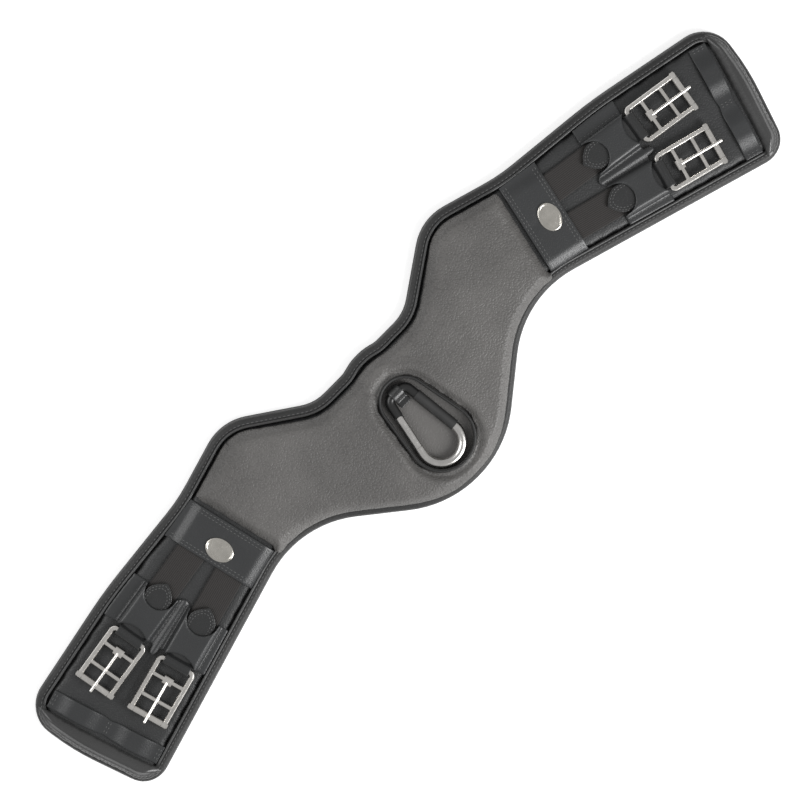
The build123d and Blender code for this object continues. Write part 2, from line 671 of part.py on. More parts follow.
def roller_solid():
    """The roller between the rails."""
    length = RAIL_SPACING - RAIL_WIDTH - 2 * ROLLER_END_GAP
    bore = PIN_DIAMETER + 2 * RUNNING_GAP
    return bar(ROLLER_AT, BAR_Z, ROLLER_DIAMETER, length) - bar(ROLLER_AT, BAR_Z, bore, length)


def tongue_solid():
    """The tongue: an eye round the tongue bar and a rod that rests over the roller."""
    bore = TONGUE_BAR_DIAMETER + 2 * RUNNING_GAP
    eye_outer = bore / 2 + TONGUE_EYE_WALL
    root = Vector(TONGUE_BAR_AT, 0, BAR_Z + eye_outer - TONGUE_ROD / 2)
    over_roller = BAR_Z + ROLLER_DIAMETER / 2 + TONGUE_REST_GAP + TONGUE_ROD / 2
    lift = (over_roller + TONGUE_REST_GAP - root.Z) / (ROLLER_AT - TONGUE_BAR_AT)
    reach = ROLLER_AT + TONGUE_PAST_ROLLER - TONGUE_BAR_AT
    tip = root + Vector(reach, 0, reach * lift)
    way = tip - root
    rod = extrude(Plane(root, z_dir=way) * Circle(TONGUE_ROD / 2), way.length)
    end_edges = rod.edges().sort_by(Axis.X)[-1]
    rod = fillet(end_edges, TONGUE_END_ROUND)
    tongue = bar(TONGUE_BAR_AT, BAR_Z, 2 * eye_outer, TONGUE_EYE_WIDTH) + rod
    return tongue - bar(TONGUE_BAR_AT, BAR_Z, bore, TONGUE_EYE_WIDTH)


def make_buckle(position, strap):
    """One buckle on each wing's strap."""
    place = strap_place(strap)
    both_wings(f"buckle_frame_{position}", place * frame_solid())
    both_wings(f"buckle_pin_{position}", place * pin_solid())
    both_wings(f"buckle_roller_{position}", place * roller_solid())
    both_wings(f"buckle_tongue_{position}", place * tongue_solid())
    print(position, "strap frame", place.position, "level", BAR_Z)


make_body()
make_chest_panel()
make_hook()
make_wing()
for strap_name, strap_values in (("rear", REAR_STRAP), ("front", FRONT_STRAP)):
    make_straps(strap_name, strap_values)
    make_buckle(strap_name, strap_values)
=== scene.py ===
# %% [markdown]
# # A saddle girth with a padded chest plate
# The model comes in as a fixed frame. The buckles and the hook have their true shapes there and stay. The
# soft pieces are plain solids, so each one is modelled again here as leather, foam or webbing, in the place
# that its own solid gives, and so are the two oval plates. X runs along the girth, Y to its rear edge and
# Z up out of its outer face.

# %% Load the frame
import contextlib
import json
import math

import bmesh
import bpy
import numpy as np
from mathutils import Matrix, Vector, noise
from mathutils.bvhtree import BVHTree
from mathutils.kdtree import KDTree


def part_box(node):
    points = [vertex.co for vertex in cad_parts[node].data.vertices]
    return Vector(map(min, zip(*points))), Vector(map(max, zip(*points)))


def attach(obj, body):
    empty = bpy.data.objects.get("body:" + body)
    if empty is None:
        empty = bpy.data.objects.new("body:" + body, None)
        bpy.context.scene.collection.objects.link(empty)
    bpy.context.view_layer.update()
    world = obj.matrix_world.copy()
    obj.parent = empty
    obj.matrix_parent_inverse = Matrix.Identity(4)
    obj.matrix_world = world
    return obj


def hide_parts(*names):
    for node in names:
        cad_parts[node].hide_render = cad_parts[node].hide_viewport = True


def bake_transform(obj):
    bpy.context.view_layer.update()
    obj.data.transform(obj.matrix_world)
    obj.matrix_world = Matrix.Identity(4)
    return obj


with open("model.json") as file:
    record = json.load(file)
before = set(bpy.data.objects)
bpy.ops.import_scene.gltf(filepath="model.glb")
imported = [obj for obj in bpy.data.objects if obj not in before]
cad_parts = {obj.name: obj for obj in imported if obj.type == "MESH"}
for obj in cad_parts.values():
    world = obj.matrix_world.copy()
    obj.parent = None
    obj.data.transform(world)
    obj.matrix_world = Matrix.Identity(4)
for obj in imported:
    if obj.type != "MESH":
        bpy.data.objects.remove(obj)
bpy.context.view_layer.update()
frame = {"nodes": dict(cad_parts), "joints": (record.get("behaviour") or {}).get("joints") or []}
NODES = frame["nodes"]
JOINTS = {joint["name"]: joint for joint in frame["joints"]}
MM = 0.001
print("frame pieces:", len(NODES), "joints:", len(JOINTS))

# %% [markdown]
# ## Places
# Each wing leans down from the middle by the same angle, and the pieces on it are straight in its own frame.
# So a wing piece is modelled along and across the right wing, turned into place, and mirrored for the left.
# A strap's frame comes from its joints: the slide gives its direction and the tilt gives the chape bar.

# %% Frames of the right wing and its straps
WING = Matrix.Translation((0, 64.9 * MM, 0)) @ Matrix.Rotation(math.radians(-12.6), 4, "Z")
KEEPER_TURN = math.radians(-3.7)
POSITIONS = ("rear", "front")


def strap_frame(position):
    """X along a right strap, with its origin under the buckle's chape bar."""
    bar = JOINTS[f"buckle_{position}_right_tilt"]["pos_m"]
    way = JOINTS[f"strap_{position}_right_stretch"]["axis"]
    return Matrix.Translation((bar[0], bar[1], 0)) @ Matrix.Rotation(math.atan2(way[1], way[0]), 4, "Z")


def span(node, place=Matrix.Identity(4)):
    """Lowest and highest corner of a CAD node, measured in another frame."""
    to_local = place.inverted()
    spots = [to_local @ v.co for v in NODES[node].data.vertices]
    return Vector(map(min, zip(*spots))), Vector(map(max, zip(*spots)))


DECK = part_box("outer_panel")[1].z
ELASTIC_LOW, ELASTIC_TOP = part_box("elastic_rear_right")[0].z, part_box("elastic_rear_right")[1].z
PAD_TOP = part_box("chest_panel")[1].z
BAR_Z = JOINTS["buckle_rear_right_tilt"]["pos_m"][2]
print("deck level:", round(DECK / MM, 2), "mm, pad top:", round(PAD_TOP / MM, 2), "mm")

# %% [markdown]
# ## Helpers for modelling
# Blender's operators work on what is selected, so everything is deselected before each step. Faces and edges
# are then picked by a rule on their place or normal, as a hand would pick them.

# %% Selecting, editing and applying
def focus(obj):
    """Makes one piece the selected and active one."""
    bpy.ops.object.select_all(action="DESELECT")
    obj.select_set(True)
    bpy.context.view_layer.objects.active = obj


@contextlib.contextmanager
def editing(obj):
    """Edit mode on one piece, with everything in it selected."""
    focus(obj)
    bpy.ops.object.mode_set(mode="EDIT")
    bpy.ops.mesh.select_all(action="SELECT")
    yield
    bpy.ops.object.mode_set(mode="OBJECT")


def pick(kind, rule):
    """In edit mode, selects the vertices, edges or faces that follow a rule."""
    bpy.ops.mesh.select_mode(type=kind)
    bpy.ops.mesh.select_all(action="DESELECT")
    mesh = bmesh.from_edit_mesh(bpy.context.object.data)
    for item in {"VERT": mesh.verts, "EDGE": mesh.edges, "FACE": mesh.faces}[kind]:
        if rule(item):
            item.select_set(True)
    mesh.select_flush_mode()
    bmesh.update_edit_mesh(bpy.context.object.data)


def modify(obj, kind, **settings):
    """Adds one modifier with these settings and applies it."""
    modifier = obj.modifiers.new(kind, kind)
    for name, value in settings.items():
        setattr(modifier, name, value)
    focus(obj)
    bpy.ops.object.modifier_apply(modifier=modifier.name)


def put(obj, place):
    """Moves a piece's mesh into its place, so that its object stays at the origin."""
    obj.data.transform(place @ obj.matrix_world)
    obj.matrix_world = Matrix.Identity(4)


def smooth(obj, angle=40):
    """Smooth shading, apart from edges sharper than the angle."""
    focus(obj)
    bpy.ops.object.shade_smooth_by_angle(angle=math.radians(angle))


def points_of(obj):
    """A mesh's points as an array."""
    spots = np.empty(len(obj.data.vertices) * 3)
    obj.data.vertices.foreach_get("co", spots)
    return spots.reshape(-1, 3)


def move_points(obj, spots):
    """Gives a mesh new points."""
    obj.data.vertices.foreach_set("co", np.ascontiguousarray(spots, dtype=float).ravel())
    obj.data.update()


def ramp(value, low, high):
    """0 below low, 1 above high, and a smooth rise between."""
    share = np.clip((value - low) / (high - low), 0, 1)
    return share * share * (3 - 2 * share)


def new_object(name, vertices, edges=(), faces=()):
    """A mesh object made from points."""
    mesh = bpy.data.meshes.new(name)
    mesh.from_pydata([tuple(v) for v in vertices], list(edges), list(faces))
    obj = bpy.data.objects.new(name, mesh)
    bpy.context.scene.collection.objects.link(obj)
    return obj


# %% Outlines taken from the frame's flat faces
def outlines(node, level):
    """The closed edges round a CAD node's flat faces at one level, the longest first, anticlockwise."""
    mesh = bmesh.new()
    mesh.from_mesh(NODES[node].data)
    bmesh.ops.remove_doubles(mesh, verts=mesh.verts, dist=1e-6)
    near = 0.02 * MM
    flat = {f for f in mesh.faces if all(abs(v.co.z - level) < near for v in f.verts)}
    rim = [e for e in mesh.edges if sum(f in flat for f in e.link_faces) == 1]
    beside = {}
    for edge in rim:
        for vert, other in (edge.verts, reversed(edge.verts)):
            beside.setdefault(vert, []).append(other)
    loops = []
    left = set(beside)
    while left:
        start = left.pop()
        loop = [start]
        while True:
            onward = [v for v in beside[loop[-1]] if v in left]
            if not onward:
                break
            loop.append(onward[0])
            left.discard(onward[0])
        loops.append(np.array([v.co[:2] for v in loop]))
    mesh.free()
    turned = [loop if area(loop) > 0 else loop[::-1] for loop in loops]
    return sorted(turned, key=lambda loop: -area(loop))


def area(loop):
    """The area inside a closed loop, positive when it is anticlockwise."""
    ahead = np.roll(loop, -1, 0)
    return 0.5 * np.sum(loop[:, 0] * ahead[:, 1] - ahead[:, 0] * loop[:, 1])


def evenly(loop, step, closed=True):
    """The same line with its points an even step apart."""
    line = np.vstack([loop, loop[:1]]) if closed else np.asarray(loop)
    run = np.linalg.norm(np.diff(line, axis=0), axis=1)
    along = np.concatenate([[0], np.cumsum(run)])
    count = max(2, int(round(along[-1] / step)))
    at = np.linspace(0, along[-1], count, endpoint=not closed)
    return np.column_stack([np.interp(at, along, line[:, i]) for i in range(line.shape[1])])


def inward(loop, distance):
    """The loop moved inwards by a distance."""
    ahead = np.roll(loop, -1, 0) - np.roll(loop, 1, 0)
    ahead = ahead / np.linalg.norm(ahead, axis=1)[:, None]
    return loop + distance * np.column_stack([-ahead[:, 1], ahead[:, 0]])


RING_STEP = 1.5 * MM
OUTLINE = evenly(outlines("lining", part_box("lining")[1].z)[0], RING_STEP)
DECK_LOOP = evenly(outlines("outer_panel", DECK)[0], RING_STEP)
PAD_LOOP = evenly(outlines("chest_panel", DECK)[0], RING_STEP)
RIM_LOOP = evenly(outlines("window_rim", DECK)[0], RING_STEP)
print("outline points:", len(OUTLINE), "pad:", len(PAD_LOOP), "window:", len(RIM_LOOP))

# %% [markdown]
# ## Finishes
# A finish is a short piece of shader maths. The small class below wraps a socket, so that `1 - mask * 0.5`
# adds the Math nodes itself, and one method adds any other node from its type, settings and inputs.

# %% Shader values and finishes
class Value:
    """A shader socket that Python's operators can work on."""

    def __init__(self, finish, socket):
        self.finish, self.socket = finish, socket

    def math(self, operation, *values):
        return self.finish.node("Math", {"operation": operation}, values)

    def __add__(self, other):
        return self.math("ADD", self, other)

    def __sub__(self, other):
        return self.math("SUBTRACT", self, other)

    def __rsub__(self, other):
        return self.math("SUBTRACT", other, self)

    def __mul__(self, other):
        return self.math("MULTIPLY", self, other)

    __radd__, __rmul__ = __add__, __mul__

    def between(self, low, high):
        """0 below low, 1 above high, and a smooth rise between."""
        settings = {"interpolation_type": "SMOOTHSTEP"}
        return self.finish.node("MapRange", settings, {"Value": self, "From Min": low, "From Max": high})

    def sine(self):
        return self.math("SINE", self)


class Finish:
    """One material, built up node by node."""

    def __init__(self, name):
        self.material = bpy.data.materials.new(name)
        self.material.use_nodes = True
        self.tree = self.material.node_tree
        self.tree.nodes.clear()
        self.spot = self.node("TexCoord", output="Object")

    def node(self, kind, settings=None, inputs=(), output=0):
        made = self.tree.nodes.new("ShaderNode" + kind)
        for name, value in (settings or {}).items():
            setattr(made, name, value)
        for key, value in inputs.items() if isinstance(inputs, dict) else enumerate(inputs):
            if isinstance(value, Value):
                self.tree.links.new(value.socket, made.inputs[key])
            else:
                made.inputs[key].default_value = value
        return Value(self, made.outputs[output]) if made.outputs else None

    def noise(self, size, detail=2.0, spot=None, rough=0.5):
        """Soft random patches of about one size, in metres."""
        values = {"Vector": spot or self.spot, "Scale": 1 / size, "Detail": detail, "Roughness": rough}
        return self.node("TexNoise", {}, values)

    def cells(self, size, spot=None, feature="F1"):
        """Distance inside random cells of about one size."""
        return self.node("TexVoronoi", {"feature": feature}, {"Vector": spot or self.spot, "Scale": 1 / size},
                         "Distance")

    def drifted(self, size, reach):
        """Object coordinates pushed about by noise, so that a pattern isn't regular."""
        push = self.node("TexNoise", {}, {"Vector": self.spot, "Scale": 1 / size}, "Color")
        centred = self.node("VectorMath", {"operation": "SUBTRACT"}, [push, (0.5, 0.5, 0.5)])
        scaled = self.node("VectorMath", {"operation": "SCALE"}, {0: centred, "Scale": reach})
        return self.node("VectorMath", {"operation": "ADD"}, [self.spot, scaled])

    def mix(self, low, high, share):
        """From one colour to another."""
        return self.node("Mix", {"data_type": "RGBA"}, {0: share, 6: low, 7: high}, 2)

    def lie(self, part):
        """One number of the piece's own attribute: 0 along its seam or length, 1 away from it."""
        flat = self.node("Attribute", {"attribute_name": "lie"}, output="Vector")
        return self.node("SeparateXYZ", {}, [flat], part)

    def done(self, height, depth, **sockets):
        """Ends the finish with one shader. Height makes its bump, as deep as depth."""
        values = {name.replace("_", " "): value for name, value in sockets.items()}
        values["Normal"] = self.node("Bump", {}, {"Strength": 1.0, "Distance": depth, "Height": height})
        shader = self.node("BsdfPrincipled", {}, values)
        self.node("OutputMaterial", {}, [shader])
        return self.material


# %% [markdown]
# ### Leathers
# Black girth leather isn't black: under soft light the pebbled top of the chest plate reads as a warm dark
# grey, and the smooth straps read darker with a satin shine. The chest leather's colour is that grey, partly
# its own tone and partly painted sheen. Grain is a field of small cells with soft valleys, over finer pores
# and a few broad creases. The grain also makes its valleys darker and duller.
# Next to a seam the thread pulls the leather into fine puckers, which follow the piece's own `lie`.

# %% The leather finish
FLOOR_REACH = 50 * MM


def grey(level, warm=0.0):
    """A dark neutral colour, a little warmer or cooler."""
    return (level * (1 + warm), level, level * (1 - warm), 1.0)


def leather(name, dark, light, grain, depth, rough, puckers=0.0, shine=0.0, warm=0.0, window=None):
    """Leather with grain of one size, puckers beside its seams, and a paler floor in the window."""
    skin = Finish(name)
    spot = skin.drifted(7 * MM, 1.6 * MM)
    cell = skin.cells(grain, spot, "SMOOTH_F1")
    pores = skin.noise(grain * 0.35, 3.0)
    crease = skin.noise(14 * MM, 4.0, spot, 0.6)
    patch = skin.noise(55 * MM, 3.0)
    valley = cell.between(0.25, 0.75)
    height = (1 - valley) * 0.75 + pores * 0.3 + crease * 0.6
    if puckers:
        along, away = skin.lie("X"), skin.lie("Y")
        wander = skin.noise(9 * MM, 2.0) * 9.0
        folds = (along * (2 * math.pi / (2.3 * MM)) + wander).sine() * 0.5
        folds = folds + (along * (2 * math.pi / (3.7 * MM)) + wander * 2.0).sine() * 0.5
        near = 1 - away.between(0.5 * MM, 9 * MM)
        height = height + folds * near * near * puckers
    worn = patch.between(0.35, 0.7)
    tone = skin.mix(grey(dark, warm), grey(light, warm), worn * 0.6 + (1 - valley) * 0.4)
    if window:
        apart = skin.node("VectorMath", {"operation": "DISTANCE"}, [skin.spot, window], "Value")
        tone = skin.mix(grey(0.105, 0.04), tone, apart.between(FLOOR_REACH, FLOOR_REACH + 2 * MM))
    roughness = rough + valley * 0.1 + (pores - 0.5) * 0.16 - worn * 0.05
    return skin.done(height, depth, Base_Color=tone, Roughness=roughness, Specular_IOR_Level=0.5,
                     Coat_Weight=shine, Coat_Roughness=0.22, Sheen_Weight=0.04, Sheen_Roughness=0.5)


WINDOW_MIDDLE = (*RIM_LOOP.mean(axis=0), DECK)
# The chest leather's light grey is partly its own tone and partly painted sheen, standing in for the shine of
# its pebbled top.
CHEST_LEATHER_PAINTED_SHEEN = leather("chest_leather", 0.066, 0.108, 1.3 * MM, 0.30 * MM, 0.46, puckers=1.1, warm=0.04)
WING_LEATHER = leather("wing_leather", 0.016, 0.026, 1.0 * MM, 0.14 * MM, 0.44, puckers=0.8, warm=-0.03,
                       window=WINDOW_MIDDLE)
BINDING_LEATHER = leather("binding_leather", 0.010, 0.018, 0.9 * MM, 0.12 * MM, 0.52)
PIPING_LEATHER = leather("piping_leather", 0.026, 0.046, 0.8 * MM, 0.08 * MM, 0.38, shine=0.2)
BAND_LEATHER = leather("band_leather", 0.018, 0.030, 0.8 * MM, 0.08 * MM, 0.36, shine=0.12, warm=-0.04)
STRAP_LEATHER = leather("strap_leather", 0.010, 0.018, 0.7 * MM, 0.08 * MM, 0.30, shine=0.35, warm=-0.03)
LINING_LEATHER = leather("lining_leather", 0.020, 0.032, 1.1 * MM, 0.14 * MM, 0.50)
PATCH_LEATHER = leather("patch_leather", 0.024, 0.040, 0.9 * MM, 0.08 * MM, 0.32, puckers=0.4, shine=0.35)

# %% [markdown]
# ### Webbing, thread and metal
# The elastics are woven: fine ribs run along them and the weft crosses in small steps, matt and a little
# brown. Thread is a bonded black cord with a slight shine; its colour is lightened to grey as a painted
# highlight. The steel of the buckles and the hook is polished and then satin brushed, so it is metallic with
# small changes of roughness and a few fine scratches.

# %% The other finishes
def elastic_web():
    """Ribbed elastic. Its pattern follows the piece's own length and width."""
    web = Finish("elastic_web")
    along, across = web.lie("X"), web.lie("Y")
    rib = (across * (2 * math.pi / (1.5 * MM))).sine() * 0.5 + 0.5
    weft = (along * (2 * math.pi / (0.9 * MM)) + rib * 2.5).sine() * 0.5 + 0.5
    fuzz = web.noise(0.5 * MM, 3.0)
    height = rib * 0.6 + weft * 0.3 + fuzz * 0.4
    tone = web.mix((0.004, 0.003, 0.003, 1), (0.020, 0.016, 0.014, 1), rib * 0.5 + weft * 0.2 + fuzz * 0.3)
    return web.done(height, 0.25 * MM, Base_Color=tone, Roughness=0.85 - rib * 0.1, Sheen_Weight=0.15,
                    Sheen_Roughness=0.6)


def thread():
    """Bonded black thread, coloured dark grey as a painted highlight."""
    yarn = Finish("thread")
    ply = yarn.noise(0.4 * MM, 1.0)
    # The grey end of this tone is a painted highlight, standing in for the glints on black thread.
    tone = yarn.mix(grey(0.05), grey(0.14), ply)
    return yarn.done(ply, 0.1 * MM, Base_Color=tone, Roughness=0.45 + ply * 0.1)


def steel(name, tone, low, high, rough, brush):
    """Satin steel, with fine brushing and small marks."""
    metal = Finish(name)
    streak = metal.noise(brush, 4.0, metal.drifted(3 * MM, 1 * MM), 0.65)
    mark = metal.cells(4 * MM, metal.drifted(6 * MM, 4 * MM), "DISTANCE_TO_EDGE")
    scratch = 1 - mark.between(0.0, 0.02)
    patch = metal.noise(8 * MM, 3.0)
    colour = metal.mix(tuple(low * t for t in tone) + (1,), tuple(high * t for t in tone) + (1,),
                       patch * 0.7 + streak * 0.3)
    roughness = rough + (streak - 0.5) * 0.14 + (patch - 0.5) * 0.12 + scratch * 0.12
    return metal.done(streak * 0.5 - scratch * 0.3, 0.03 * MM, Base_Color=colour, Roughness=roughness,
                      Metallic=1.0)


def dipped(metal_name, level):
    """Satin steel with its upper part dipped in black, above one level of Y."""
    hook = Finish(metal_name)
    height = hook.node("SeparateXYZ", {}, [hook.spot], "Y")
    coat = height.between(level - 0.2 * MM, level + 0.2 * MM)
    streak = hook.noise(1.0 * MM, 4.0, hook.drifted(3 * MM, 1 * MM), 0.65)
    patch = hook.noise(8 * MM, 3.0)
    bright = hook.mix((0.56, 0.55, 0.53, 1), (0.80, 0.78, 0.76, 1), patch * 0.7 + streak * 0.3)
    tone = hook.mix(bright, grey(0.012), coat)
    roughness = (streak - 0.5) * 0.14 + (patch - 0.5) * 0.1 + coat * 0.06 + 0.24
    return hook.done(streak * 0.5, 0.03 * MM, Base_Color=tone, Roughness=roughness, Metallic=1 - coat)


def plastic():
    """Matt black sleeve."""
    sleeve = Finish("sleeve_plastic")
    grain = sleeve.noise(0.8 * MM, 3.0)
    tone = sleeve.mix(grey(0.018), grey(0.030), sleeve.noise(9 * MM))
    return sleeve.done(grain, 0.04 * MM, Base_Color=tone, Roughness=0.38 + grain * 0.14)


ELASTIC = elastic_web()
THREAD_PAINTED_HIGHLIGHT = thread()
BUCKLE_STEEL = steel("buckle_steel", (1.0, 0.97, 0.925), 0.64, 0.92, 0.22, 1.2 * MM)
HOOK_STEEL = steel("hook_steel", (1.0, 0.98, 0.95), 0.56, 0.80, 0.24, 1.0 * MM)
PLATE_METAL = steel("plate_metal", (1.0, 0.96, 0.88), 0.52, 0.80, 0.20, 1.0 * MM)
PLASTIC = plastic()

HOOK_DIPPED = dipped("hook_dipped", JOINTS["gate_swing"]["pos_m"][1] - 1.2 * MM)

KEPT = {"buckle_": BUCKLE_STEEL, "hook_": HOOK_STEEL, "hook_body": HOOK_DIPPED, "plate_posts": PLATE_METAL,
        "hook_sleeve": PLASTIC}
for prefix, finish in KEPT.items():
    for name, node in NODES.items():
        if name.startswith(prefix):
            node.data.materials.clear()
            node.data.materials.append(finish)
            smooth(node, 35)
print("finishes:", len(bpy.data.materials))

# %% [markdown]
# ## Registering pieces
# Each finished piece says which body it moves with and which plain solids it replaces. A right-hand piece is
# copied, mirrored and turned the right way out again.

# %% Registering and mirroring
def register(obj, finish, body="root", replaced=()):
    """Gives a finished piece its material and, when one is named, its body."""
    obj.data.materials.clear()
    obj.data.materials.append(finish)
    if body:
        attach(obj, body)
    if replaced:
        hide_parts(*replaced)
    return obj


def mirrored(obj):
    """The left-hand copy of a right-hand piece."""
    copy = obj.copy()
    copy.data = obj.data.copy()
    copy.name = obj.name.replace("_right", "_left")
    bpy.context.scene.collection.objects.link(copy)
    copy.data.transform(Matrix.Scale(-1, 4, (1, 0, 0)))
    copy.data.flip_normals()
    return copy


def register_pair(obj, finish, body="root", replaced=()):
    """Registers a right-hand piece and its left-hand copy."""
    copy = mirrored(obj)
    register(obj, finish, body, replaced)
    left = [name.replace("_right", "_left") for name in replaced]
    register(copy, finish, body.replace("_right", "_left"), left)
    return obj, copy


def mark_lie(obj, along, away):
    """Stores on each point how far along and away from its seam it is, for the finishes."""
    lie = obj.data.attributes.new("lie", "FLOAT_VECTOR", "POINT")
    lie.data.foreach_set("vector", np.column_stack([along, away, np.zeros(len(along))]).ravel())


# %% [markdown]
# ## The girth's edge
# Round the whole girth the lining turns up into a roll, the binding makes a second roll above it, and a thin
# piping closes the seam to the deck. The lining is a flat sheet with bevelled edges; the binding and the
# piping are each a section carried round an outline: a curve with a bevel object, turned into a mesh.

# %% Carrying a section round a closed outline
def carried(name, loop, section, level):
    """A section, given as points inwards and up, carried round a closed loop."""
    def closed_curve(title, points):
        curve = bpy.data.curves.new(title, "CURVE")
        curve.dimensions = "2D"
        curve.fill_mode = "NONE"
        spline = curve.splines.new("POLY")
        spline.points.add(len(points) - 1)
        for spot, point in zip(spline.points, points):
            spot.co = (point[0], point[1], 0, 1)
        spline.use_cyclic_u = True
        obj = bpy.data.objects.new(title, curve)
        bpy.context.scene.collection.objects.link(obj)
        return obj

    shape = closed_curve(name + "_section", section)
    line = closed_curve(name, loop)
    line.data.bevel_mode = "OBJECT"
    line.data.bevel_object = shape
    bpy.context.view_layer.update()
    focus(line)
    bpy.ops.object.convert(target="MESH")
    bpy.data.objects.remove(shape)
    with editing(line):
        bpy.ops.mesh.remove_doubles(threshold=1e-6)
        bpy.ops.mesh.normals_make_consistent(inside=False)
    put(line, Matrix.Translation((0, 0, level)))
    smooth(line, 50)
    return line


def rolled(corners, steps=4):
    """A closed section with its corners eased into a soft line, in millimetres."""
    line = np.array(corners, dtype=float)
    for _ in range(steps - 1):
        ahead = np.roll(line, -1, 0)
        line = np.stack([0.75 * line + 0.25 * ahead, 0.25 * line + 0.75 * ahead], 1).reshape(-1, 2)
    return line * MM


def prism(name, loop, low, high):
    """A flat face inside a loop, extruded upwards."""
    obj = new_object(name, [(x, y, low) for x, y in loop], faces=[range(len(loop))])
    with editing(obj):
        bpy.ops.mesh.extrude_region_move(TRANSFORM_OT_translate={"value": (0, 0, high - low)})
        bpy.ops.mesh.select_all(action="SELECT")
        bpy.ops.mesh.normals_make_consistent(inside=False)
    return obj


LINING_TOP = 4.4 * MM
lining = prism("lining_sheet", inward(OUTLINE, 0.05 * MM), 0, LINING_TOP)
modify(lining, "BEVEL", width=1.9 * MM, segments=4, limit_method="ANGLE", angle_limit=math.radians(60))
smooth(lining, 50)
register(lining, LINING_LEATHER, replaced=["lining"])

BINDING = [(9.2, 3.4), (9.2, 10.4), (7.9, 10.6), (6.8, 11.1), (5.0, 11.2), (3.2, 10.9), (1.7, 9.8),
           (0.75, 8.0), (0.6, 6.4), (1.1, 5.0), (2.4, 4.3), (2.4, 3.4)]
binding = carried("edge_roll", OUTLINE, rolled(BINDING, 3), 0)
register(binding, BINDING_LEATHER, replaced=["edge_binding", "foam_core", "core_webbing"])

PIPING_RADIUS = 1.05
TURNS = np.linspace(0, 2 * math.pi, 10, False)
ROUND = [(PIPING_RADIUS * math.cos(t), PIPING_RADIUS * math.sin(t)) for t in TURNS]
piping = carried("seam_piping", DECK_LOOP, np.array(ROUND) * MM, DECK + 0.45 * MM)
register(piping, PIPING_LEATHER, replaced=["edge_piping"])
print("edge pieces:", len(lining.data.polygons), len(binding.data.polygons), len(piping.data.polygons))

# %% [markdown]
# ## Padded pieces
# The deck, the chest pad and the end patches are leather over foam. Each starts as a slightly low block in
# its own outline, is remeshed into even squares, and is blown up as cloth with the pressure of the foam. A
# cap keeps the swelling inside the space of the plain solid. Seams, valleys and puckers come afterwards,
# because the remesh would take them away.

# %% Blowing a pad up as cloth
SWELL_FRAMES = 20


def puff(pad, voxel, pressure, cap, floor):
    """Remeshes a block, swells it as cloth up to the cap, and smooths it once."""
    modify(pad, "REMESH", mode="VOXEL", voxel_size=voxel, use_smooth_shade=True)
    start = points_of(pad)
    cloth = pad.modifiers.new("CLOTH", "CLOTH")
    cloth.settings.use_pressure = True
    cloth.settings.uniform_pressure_force = pressure
    cloth.settings.effector_weights.gravity = 0
    for step in range(1, SWELL_FRAMES + 1):
        bpy.context.scene.frame_set(step)
    focus(pad)
    bpy.ops.object.modifier_apply(modifier="CLOTH")
    change = points_of(pad) - start
    length = np.linalg.norm(change, axis=1)
    share = np.minimum(1, cap / np.maximum(length, 1e-9))
    spots = start + change * share[:, None]
    spots[:, 2] = np.maximum(spots[:, 2], floor)
    move_points(pad, spots)
    bpy.context.scene.frame_set(1)
    modify(pad, "SUBSURF", levels=1, render_levels=1)
    modify(pad, "SMOOTH", factor=0.5, iterations=6)
    print(pad.name, "faces:", len(pad.data.polygons), "top:", round(points_of(pad)[:, 2].max() / MM, 2), "mm")


def nearest_on(loop):
    """For points, how far along a loop the nearest spot is and how far away."""
    fine = evenly(loop, 0.5 * MM)
    tree = KDTree(len(fine))
    for index, (x, y) in enumerate(fine):
        tree.insert((x, y, 0), index)
    tree.balance()

    def measure(spots):
        found = [tree.find((x, y, 0)) for x, y, _ in spots]
        return np.array([f[1] for f in found]) * 0.5 * MM, np.array([f[2] for f in found])
    return measure


def rumple(spots, size, seed):
    """Soft random height over the plan, between about -1 and 1."""
    return np.array([noise.noise((x / size, y / size, seed)) for x, y, _ in spots])


def gathers(along, lengths):
    """Uneven waves along a seam, as the thread gathers leather."""
    waves = [np.sin(2 * math.pi * along / (length * MM) + phase) for phase, length in enumerate(lengths)]
    return sum(waves) / len(lengths)


# %% The deck of the whole girth
deck = prism("girth_deck", inward(DECK_LOOP, 0.2 * MM), 3.6 * MM, DECK - 0.6 * MM)
puff(deck, 3.6 * MM, 3.0, 0.5 * MM, 3.0 * MM)
spots = points_of(deck)
along, away = nearest_on(DECK_LOOP)(spots)
top = ramp(spots[:, 2], DECK - 3 * MM, DECK - 1 * MM)
spots[:, 2] += top * (gathers(along, (7.3, 11.9, 5.1)) * np.exp(-away / (5 * MM)) * 0.28 * MM)
spots[:, 2] += top * rumple(spots, 32 * MM, 3.1) * 0.35 * MM
spots[:, 2] = np.minimum(spots[:, 2], DECK + 0.05 * MM)
move_points(deck, spots)
mark_lie(deck, along, away)
smooth(deck, 60)
register(deck, WING_LEATHER, replaced=["outer_panel"])

# %% [markdown]
# ## The chest pad and its window
# The chest pad is the thick part between the two cross bands. The window is cut through the block before it
# is blown up, so the leather rounds over at the window too. A valley is then pressed in round the window,
# where the rim is sewn, and the outer seam is gathered into small waves.

# %% The chest pad
def pushed_out(loop, reach):
    """The loop moved outwards along its front edge, where the leather is turned down over the binding."""
    ahead = np.roll(loop, -1, 0) - np.roll(loop, 1, 0)
    ahead = ahead / np.linalg.norm(ahead, axis=1)[:, None]
    outwards = np.column_stack([ahead[:, 1], -ahead[:, 0]])
    front = ramp(-outwards[:, 1], 0.35, 0.6)
    return loop + outwards * (reach * front)[:, None]


